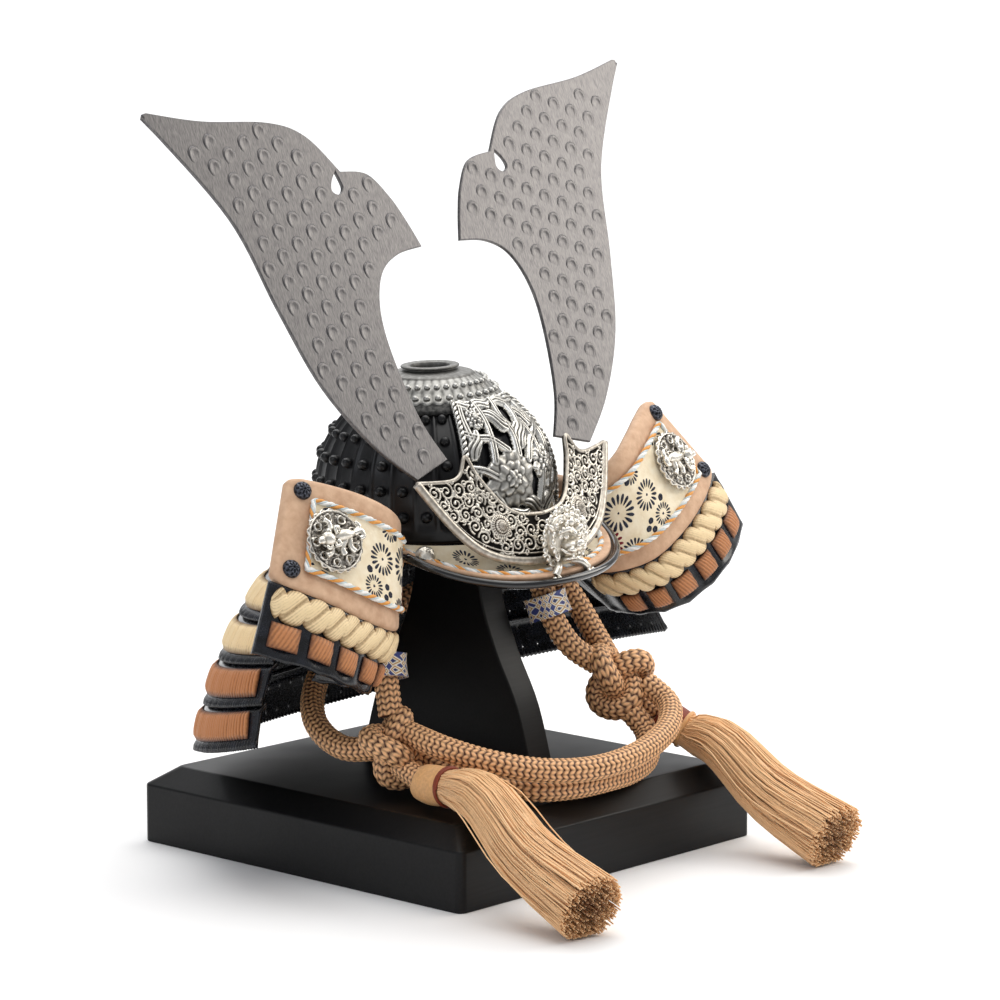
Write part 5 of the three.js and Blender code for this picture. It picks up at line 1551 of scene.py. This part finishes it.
def print_shapes(burst_places, blossom_places, width, height, petals=17):
    """Flat places, turns and sizes of the ink marks inside width by height."""
    places, turns, sizes, tones = [], [], [], []

    def mark(x, y, angle, size, tone=False):
        places.append((x, y, 0))
        turns.append(angle)
        sizes.append((*size, 1))
        tones.append(tone)

    def fits(x, y):
        return PRINT_MARGIN < x < width - PRINT_MARGIN and PRINT_MARGIN < y < height - PRINT_MARGIN

    for index, (along, up, reach) in enumerate(burst_places):
        for k in range(petals):
            angle = TURN * k / petals + 0.2
            x = along * width + 0.73 * reach * math.cos(angle)
            y = up * height + 0.73 * reach * math.sin(angle)
            if fits(x, y):
                mark(x, y, angle, (reach * 0.22, reach * 0.22), index == RED_BURST)
        if 0 < up < 1:
            mark(along * width, up * height, 0, (0.3, 1.0))
    for along, up, reach in blossom_places:
        for k in range(5):
            angle = TURN * k / 5
            x = along * width + 0.55 * reach * math.cos(angle)
            y = up * height + 0.55 * reach * math.sin(angle)
            if fits(x, y):
                mark(x, y, angle, (reach * 0.48, reach * 1.5))
    return np.array(places), np.array(turns), np.array(sizes), np.array(tones)


def ink_petal():
    """A stroke of ink: a long drop, broad at its outer end."""
    angle = np.arange(14) / 14 * TURN
    outline = [(1.25 * math.cos(a), 0.37 * math.sin(a) * (1 + 0.5 * math.cos(a))) for a in angle]
    return flat_shape(outline, 0.07)


def turnbacks():
    def padded_edge(u, v):
        end = np.sqrt(np.clip(1 - np.maximum(0, np.abs(2 * v - 1) - 0.9) ** 2 / 0.01, 0, 1))
        end = end * np.sqrt(np.clip(1 - np.maximum(0, u - 0.985) ** 2 / 0.015 ** 2, 0, 1))
        band = np.minimum(np.minimum(v, 1 - v) / 0.19, (1 - u) / 0.095)
        roll = 0.5 * np.sin(np.clip(band, 0, 1) * math.pi) ** 0.6
        return -0.2 + 1.3 * end + roll * end

    hide, hide_faces = sheet_on(panel_patch, 150, 60, -1.0, padded_edge)
    skin, skin_faces = sheet_on(print_patch, 120, 24, 0.9, PRINT_HEIGHT, u=PRINT_U, v=PRINT_V)
    width = print_patch.width * (PRINT_U[1] - PRINT_U[0])
    height = print_patch.height * (PRINT_V[1] - PRINT_V[0])
    places, turns, sizes, red = print_shapes(BURSTS, BLOSSOMS, width, height)

    def onto_print(points):
        return print_patch.at(PRINT_U[0] + points[:, 0] / print_patch.width,
                              PRINT_V[0] + points[:, 1] / print_patch.height, PRINT_HEIGHT + points[:, 2])

    corners = [(PRINT_U[i], PRINT_V[j]) for i, j in ((0, 0), (1, 0), (1, 1), (0, 1))]
    outline = np.concatenate([np.linspace(a, b, 60)[:-1] for a, b in zip(corners, corners[1:] + corners[:1])])
    for side, mirror in SIDES:
        back = piece(f"turnback_{side}_hide", hide, hide_faces, TAN_LEATHER, mirror=mirror)
        seat(back, "tan_leather", [f"turnback_{side}"])
        front = piece(f"turnback_{side}_skin", skin, skin_faces, PRINTED_LEATHER, mirror=mirror)
        seat(front, "printed_leather", [f"turnback_print_{side}"])
        for tone, chosen, finish in (("navy", ~red, NAVY_INK), ("red", red, RED_INK)):
            marks = repeated(f"turnback_{side}_{tone}_print", ink_petal(), places[chosen], turns[chosen],
                             sizes[chosen], finish, bend=onto_print, mirror=mirror)
            seat(marks, "printed_leather")
        edge = print_patch.at(outline[:, 0], outline[:, 1], PRINT_HEIGHT + 0.1)
        twisted_border(f"turnback_{side}_border", edge, mirror)


def twisted_border(name, line, mirror=False, pitch=6.6, radius=0.52):
    """A border cord laid from a white and an orange strand, with thin pale blue ones between."""
    line = evenly(line, 0.3)
    _, side, up = frames_along(line)
    turn = (np.arange(len(line)) * 0.3 / pitch * TURN)[:, None]
    for tone, finish, share, thick in (("white", WHITE_THREAD, 0, 1.0), ("orange", ORANGE_THREAD, 0.5, 1.0),
                                       ("blue", BLUE_THREAD, 0.25, 0.55), ("pale", BLUE_THREAD, 0.75, 0.55)):
        angle = turn + TURN * share
        thread = line + (side * np.cos(angle) + up * np.sin(angle)) * radius * (0.85 if thick == 1.0 else 1.05)
        made = threads(f"{name}_{tone}", [thread[::2]], radius * thick, 6, finish, mirror=mirror)
        seat(made, "cream_lacing")


def medallions():
    """A pierced disc of scrolling peony with a lion-dog running across it."""
    cells = 100
    axis = np.linspace(-9.6, 9.6, cells + 1)
    x, y = np.meshgrid(axis, axis)
    radius, angle = np.hypot(x, y), np.arctan2(y, x)
    edge = 9.15 + 0.25 * np.cos(angle * 20)
    beading = 0.22 * np.cos(angle * 24) * (np.abs(radius - 7.9) < 0.35)
    height = 0.7 + 0.5 * np.exp(-((radius - 8.7) / 0.35) ** 2) + beading
    for far, count, size in ((6.6, 9, 1.9), (3.2, 5, 1.8)):
        for k in range(count):
            a = TURN * k / count + far
            dx, dy = x - far * math.cos(a), y - far * math.sin(a)
            ring = np.hypot(dx, dy)
            swirl = np.cos(np.arctan2(dy, dx) * 2 + ring * 2.2 + k)
            height += 0.75 * np.exp(-((ring - size * 0.62) / 0.3) ** 2) + 0.2 * swirl * (ring < size)
    holes = np.zeros_like(x, bool)
    for far, count, size, start in ((6.6, 9, 0.72, 6.6), (3.2, 5, 0.7, 3.2),
                                    (5.0, 9, 0.42, 0.3), (7.6, 18, 0.3, 0.1)):
        for k in range(count):
            a = TURN * k / count + start
            holes |= np.hypot(x - far * math.cos(a), y - far * math.sin(a)) < size
    open_cell = (radius > edge) | holes
    open_cell = open_cell[:-1, :-1] & open_cell[1:, 1:]
    top = np.stack([x, y, height], axis=-1)
    bottom = np.stack([x, y, np.zeros_like(x)], axis=-1)
    points, faces = pierced_sheet(top, bottom, open_cell)
    beast = cast_lumps([
        ((-1.2, 1.6, 2.3), (4.4, 1.7, 1.5), (0, 0, -28)), ((3.6, -1.3, 2.9), (2.3, 2.1, 1.8), (0, 0, 0)),
        ((5.6, -2.5, 3.1), (1.4, 1.2, 1.0), (0, 0, -30)), ((4.2, 0.7, 3.7), (0.9, 0.6, 0.6), (0, 0, 20)),
        ([(-5, 3.4, 2.3), (-6.8, 4.6, 2.8), (-7.6, 3.2, 2.9), (-6.6, 2.3, 2.9)], (0.9, 0.9, 0.7)),
        ([(-5, 3.6, 2.2), (-6.0, 6.0, 2.6), (-4.5, 6.9, 2.6)], (0.8, 0.7, 0.5)),
        ([(-3.4, 2, 2.0), (-4.6, -0.8, 2.0), (-6.2, -1.6, 1.9)], (1.2, 0.8, 0.9)),
        ([(-2.4, 1.4, 2.0), (-1.8, -2.2, 2.0), (-3.0, -3.8, 1.9)], (1.2, 0.9, 1.0)),
        ([(2.4, -1.6, 2.2), (1.6, -4.6, 2.2), (3.0, -6.0, 2.1)], (1.1, 0.8, 1.0)),
        ([(2.8, 0.6, 2.2), (3.6, 3.6, 2.2), (5.6, 4.3, 2.1)], (1.0, 0.8, 0.9)),
        ([(1.4, 1.0, 3.4), (2.4, 2.4, 3.8), (1.2, 3.0, 3.6), (0.9, 2.0, 3.4)], (0.6, 0.5, 0.4)),
        ([(0.8, -0.8, 3.5), (-0.2, -2.0, 3.7), (0.9, -2.6, 3.5), (1.4, -1.7, 3.4)], (0.6, 0.5, 0.4)),
        ([(2.2, -3.0, 3.2), (3.0, -4.2, 3.3), (4.0, -3.6, 3.3)], (0.6, 0.5, 0.4)),
        ((4.6, -0.6, 4.2), (0.4, 0.4, 0.35), (0, 0, 0)), ((6.3, -3.4, 3.3), (0.6, 0.4, 0.5), (0, 0, 0)),
    ], 0.22, 1)
    mount = face_of(panel_patch, 0.82, 0.5, PRINT_HEIGHT + 0.7)
    for side, mirror in SIDES:
        disc = piece(f"medallion_{side}_disc", mount(points), faces, DARK_SILVER, mirror=mirror)
        cavity_relief(recalculated(disc), 0.9, 1)
        seat(disc, "antique_silver", [f"medallion_{side}"])
        lion = piece(f"medallion_{side}_lion", mount(beast[0]), beast[1], BRIGHT_SILVER, mirror=mirror)
        cavity_relief(lion, 0.3)
        seat(lion, "bright_silver")


def flower_boss(radius=2.7, height=2.0, petals=8, cut=0.16, sides=64, rows=18):
    """A small domed boss chased as a flower in rings of petals."""
    angle = np.arange(sides) / sides * TURN
    rings = [np.stack([radius * np.cos(angle), radius * np.sin(angle), np.full(sides, -0.4)], axis=1)]
    for share in np.linspace(0, 1, rows + 1):
        reach = radius * math.cos(share * TURN / 4)
        ring = int(share > 0.3) + int(share > 0.6)
        petal = cut * height * np.abs(np.cos(angle * petals / 2 + ring * TURN / 4)) * (0.05 < share < 0.9)
        level = height * (0.84 * math.sin(share * TURN / 4) + 0.04 * ring)
        rings.append(np.stack([reach * np.cos(angle), reach * np.sin(angle), level + petal], axis=1))
    faces = grid_faces(rows + 2, sides, closed_columns=True)
    faces.append(tuple(reversed(range(sides))))
    return np.concatenate(rings), faces


def bosses():
    points, faces = flower_boss()
    for name, u, v in (("upper", 0.94, 0.87), ("lower", 0.945, 0.16)):
        mount = face_of(panel_patch, u, v, 1.55)
        for side, mirror in SIDES:
            made = piece(f"boss_{name}_{side}_flower", mount(points), faces, DARK_BRONZE, mirror=mirror)
            cavity_relief(recalculated(made), 0.5)
            seat(made, "dark_bronze", [f"boss_{name}_{side}"])


turnbacks()
medallions()
bosses()


# ---------------------------------------------------------------- laced plates under the turn-backs

def laced_rope(first, last, middle, half, turns, threads_each=7):
    """A fat two-ply rope lying on the plates: slanted rounded turns, each of parallel threads."""
    along, across = turns * 36, 24
    s, t = np.meshgrid(np.linspace(0, turns, along + 1), np.linspace(-1, 1, across + 1))
    place = s + 0.55 * t
    bulge = np.sqrt(np.maximum(1 - (2 * (place % 1) - 1) ** 2, 0))
    rim = np.sqrt(np.maximum(1 - (2 * ((s + 0.55 * np.sign(t)) % 1) - 1) ** 2, 0))
    ends = np.clip(np.minimum(s, turns - s) * 3, 0.05, 1) ** 0.5
    body = np.sqrt(np.maximum(1 - t ** 2, 0))
    lines = np.cos(TURN * threads_each * place)
    height = 0.75 + ends * (2.1 * body ** 0.8 * (0.25 + 0.75 * bulge ** 0.8) + 0.09 * lines * body * bulge)
    u = first + (last - first) * s / turns
    v = middle + half * t * (0.6 + 0.4 * rim) * ends
    top = lower_patch.at(u, v, height)
    points, faces = closed_sheet(top, lower_patch.at(u, v, np.full_like(u, 0.6)))
    # The relief paints shade between the turns and highlights on their crowns, with light and dark thread
    # lines.
    relief = np.clip(0.15 + 0.62 * (bulge * body) ** 0.7 + 0.16 * lines, 0, 1)
    return points, faces, np.concatenate([relief.ravel(), np.full(relief.size, 0.1)])


# Where the squares of lacing start and end along the plates, and how many there are.
SQUARES_START, SQUARES_END, SQUARES = 0.26, 0.985, 6


def laced_plates():
    width, tall = lower_patch.width, lower_patch.height
    bundle = width * (SQUARES_END - SQUARES_START) / SQUARES

    def ribs(u, v):
        place = (u - SQUARES_START) * width / bundle
        ridge = 0.35 * np.cos(place * TURN) * np.clip(v * 6, 0, 1) * np.clip((0.9 - v) * 8, 0, 1)
        return 0.55 + ridge + 0.25 * np.exp(-((v - 0.06) / 0.04) ** 2)

    plate, plate_faces = sheet_on(lower_patch, 160, 24, -0.7, ribs, v=(0, 1.03))
    plate_low = plate.reshape(2, 25, 161, 3)
    plate_low[:, 0, :, 2] += 0.55 * np.abs(np.cos(np.linspace(0, 1, 161) * width / bundle * math.pi))
    squares = [((SQUARES_START + (SQUARES_END - SQUARES_START) * (k + 0.5) / SQUARES) * width, 0.33 * tall, 0)
               for k in range(SQUARES)]
    rope, rope_faces, rope_relief = laced_rope(0.2, SQUARES_END, 0.77, 0.25, 11)

    def onto_plate(points):
        return lower_patch.at(points[:, 0] / width, points[:, 1] / tall, 1.0 + points[:, 2])

    for side, mirror in SIDES:
        seat(piece(f"laced_plate_{side}_lames", plate, plate_faces, PLATE_LACQUER, mirror=mirror),
             "black_lacquer", [f"laced_plate_{side}"])
        tufts = repeated(f"square_lacing_{side}_tufts", pillow(tall * 0.36, bundle * 0.74, 1.6, 20, 44, 7, 2.2),
                         squares, 0, 1.0, BROWN_SILK, bend=onto_plate, mirror=mirror)
        seat(tufts, "brown_lacing", [f"square_lacing_{side}"])
        rope_piece = piece(f"rope_lacing_{side}_turns", rope, rope_faces, CREAM_SILK, mirror=mirror,
                           relief=rope_relief)
        seat(recalculated(rope_piece), "cream_lacing", [f"rope_lacing_{side}"])


laced_plates()


# ---------------------------------------------------------------- neck guard

NECK_ROWS, CREAM_ROWS = 5, 3
LAME_CELL, LAME_TOOTH, STRAND_PITCH = 0.36, 1.35, 1.45


def neck_guard():
    for row in range(NECK_ROWS):
        patch = Patch(neck_surface(row), 120, 8)
        if patch.normals[4, 60][1] < 0:
            patch.normals = -patch.normals
        width, tall = patch.width, patch.height
        columns, rows = round(width / LAME_CELL), 16
        # The upper edge runs on under the row above it, the first one's up toward the bowl.
        upper = -0.3 if row == 0 else -0.12
        u, v = np.meshgrid(np.linspace(0, 1, columns + 1), np.linspace(upper, 0.965, rows + 1))
        tuck = 0 if row == 0 else 2.1 * np.clip((0.1 - v) / 0.22, 0, 1)
        teeth = 0.5 + 0.5 * np.cos(u * width / LAME_TOOTH * TURN)
        low = np.clip((v - 0.78) / 0.08, 0, 1)
        top = patch.at(u, v, 0.65 + low * (0.25 + 0.4 * teeth) - tuck)
        bottom = patch.at(u, v, -0.65 - low * 0.15 * teeth - tuck)
        for grid in (top, bottom):
            grid[-1, :, 2] -= 0.35 * teeth[-1]
        hole_u = np.floor(u[:-1, :-1] * width / LAME_CELL) % 14 == 6
        hole_v = np.isin(np.arange(rows), (4, 12))[:, None]
        points, faces = pierced_sheet(top, bottom, hole_u & hole_v)
        made = recalculated(piece(f"neck_row_{row + 1}_lames", points, faces, PLATE_LACQUER))
        seat(made, "black_lacquer", [f"neck_row_{row + 1}"])
        first, last = (0.45 if row == 0 else 0.08), 0.76
        count = round(width * 0.97 / STRAND_PITCH)
        places = [((0.015 + 0.97 * (k + 0.5) / count) * width, (first + last) / 2 * tall, 0)
                  for k in range(count)]
        sizes = []
        for k in range(count):
            swell = 0.2 * abs(math.sin(math.pi * (k + 0.5) / count * 26))
            sizes.append((1, 1, 0.8 + swell + RANDOM.uniform(-0.06, 0.06)))

        def onto_row(points, patch=patch, width=width, tall=tall):
            return patch.at(points[:, 0] / width, points[:, 1] / tall, 0.95 + points[:, 2])

        silk_here, slot = (CREAM_SILK, "cream_lacing") if row < CREAM_ROWS else (BROWN_SILK, "brown_lacing")
        strands = repeated(f"neck_lacing_{row + 1}_strands", pillow((last - first) * tall, 1.5, 1.45, 7, 5),
                           places, 0.12, np.array(sizes), silk_here, bend=onto_row)
        seat(strands, slot, [f"neck_lacing_{row + 1}"])


neck_guard()


# ---------------------------------------------------------------- visor print, border cord and studs

def visor_dressing():
    skin = VISOR_HALF + VISOR_SKIN + SKIN_HALF
    u0, u1, v0, v1 = 0.1, 0.9, 0.06, 0.7
    width, tall = visor_patch.width, visor_patch.height
    bursts = [(0.06, 0.62, 4.2), (0.2, 0.3, 3.6), (0.32, 0.75, 4.2), (0.5, 0.5, 4.2), (0.68, 0.75, 4.2),
              (0.8, 0.3, 3.6), (0.94, 0.62, 4.2)]
    blossoms = [(0.0, 0.95, 1.8), (1.0, 0.95, 1.8), (0.13, 0.9, 1.2), (0.87, 0.9, 1.2), (0.42, 0.9, 1.2),
                (0.6, 0.15, 1.2)]
    places, turns, sizes, _ = print_shapes(bursts, blossoms, width * (u1 - u0), tall * (v1 - v0))

    def onto_visor(points):
        return visor_patch.at(u0 + points[:, 0] / width, v0 + points[:, 1] / tall, skin + points[:, 2])

    marks = repeated("visor_navy_print", ink_petal(), places, turns, sizes, NAVY_INK, bend=onto_visor)
    seat(marks, "printed_leather")
    corner = [(0.075, 0.1), (0.075, 0.4), (0.085, 0.6), (0.11, 0.73), (0.16, 0.745)]
    edge = corner + [(k, 0.745) for k in np.linspace(0.2, 0.8, 20)] + [(1 - a, b) for a, b in reversed(corner)]
    edge = np.array(soft_line(edge, 6))
    twisted_border("visor_border_cord", visor_patch.at(edge[:, 0], edge[:, 1], skin + 0.25))
    ball, faces = flower_boss(3.2, 3.9, 10, 0.03, 80, 24)
    mount = face_of(visor_patch, 0.0875, 0.65, skin + 0.3)
    for side, mirror in SIDES:
        stud = piece(f"visor_stud_{side}_flower", mount(ball), faces, BRIGHT_SILVER, mirror=mirror)
        cavity_relief(recalculated(stud), 0.6)
        seat(stud, "bright_silver", [f"visor_stud_{side}"])


visor_dressing()


# ---------------------------------------------------------------- floor, backdrop and light

def plain_floor():
    """Matt studio paper, swept up behind the object."""
    paper, tree, shader, place = material("studio_paper", {"Roughness": 0.9, "Specular IOR Level": 0.1})
    cloud = add(tree, "ShaderNodeTexNoise", {"Vector": place, "Scale": 0.002})
    add(tree, "ShaderNodeValToRGB", {"Fac": cloud}, shader["Base Color"],
        [(0.3, "#f1f1f1"), (0.7, "#f5f5f5")])
    profile = [(-4.0, 0.0), (1.6, 0.0)]
    profile += [(1.6 + 0.8 * math.sin(a), 0.8 - 0.8 * math.cos(a)) for a in np.linspace(0.1, TURN / 4, 10)]
    profile += [(2.4, 4.0)]
    turn = -44.3 * DEGREE
    points = []
    for x in (-5.0, 5.0):
        for y, z in profile:
            points.append((x * math.cos(turn) - y * math.sin(turn),
                           x * math.sin(turn) + y * math.cos(turn), z))
    count = len(profile)
    mesh = bpy.data.meshes.new("studio_paper")
    mesh.from_pydata(points, [], [(i + 1, i, i + count, i + count + 1) for i in range(count - 1)])
    mesh.materials.append(paper)
    mesh.polygons.foreach_set("use_smooth", [True] * len(mesh.polygons))
    recalculated(put("studio_paper", mesh))


def soft_light(name, place, aim, size, watts, tone="#ffffff"):
    lamp = put(name, bpy.data.lights.new(name, "AREA"))
    lamp.data.shape = "RECTANGLE"
    lamp.data.size, lamp.data.size_y = size
    lamp.data.energy = watts
    lamp.data.color = linear(tone)[:3]
    lamp.location = place
    lamp.rotation_euler = (Vector(aim) - Vector(place)).to_track_quat("-Z", "Y").to_euler()


def studio():
    """A broad light overhead, a small near one on the object's front left, a larger far one on its right,
    and a wash over the backdrop."""
    world = bpy.data.worlds.new("studio")
    world.use_nodes = True
    sky = world.node_tree.nodes["Background"]
    sky.inputs["Color"].default_value = linear("#f6f8fc")
    sky.inputs["Strength"].default_value = 0.42
    scene = bpy.context.scene
    scene.world = world
    scene.view_settings.view_transform = "Standard"
    soft_light("overhead", (0.15, -0.1, 1.5), (0, 0, 0.05), (1.8, 1.4), 17, "#fffdfa")
    soft_light("window_front", (0.5, -0.3, 0.42), (0.03, -0.03, 0.2), (0.3, 0.4), 1.8, "#fffaf2")
    soft_light("window_side", (-1.3, 0.0, 0.9), (0, 0, 0.1), (0.7, 0.8), 3, "#f2f6ff")
    soft_light("backdrop_wash", (1.0, 1.0, 1.5), (1.2, 1.2, 0.0), (2.0, 2.0), 24)


plain_floor()
studio()
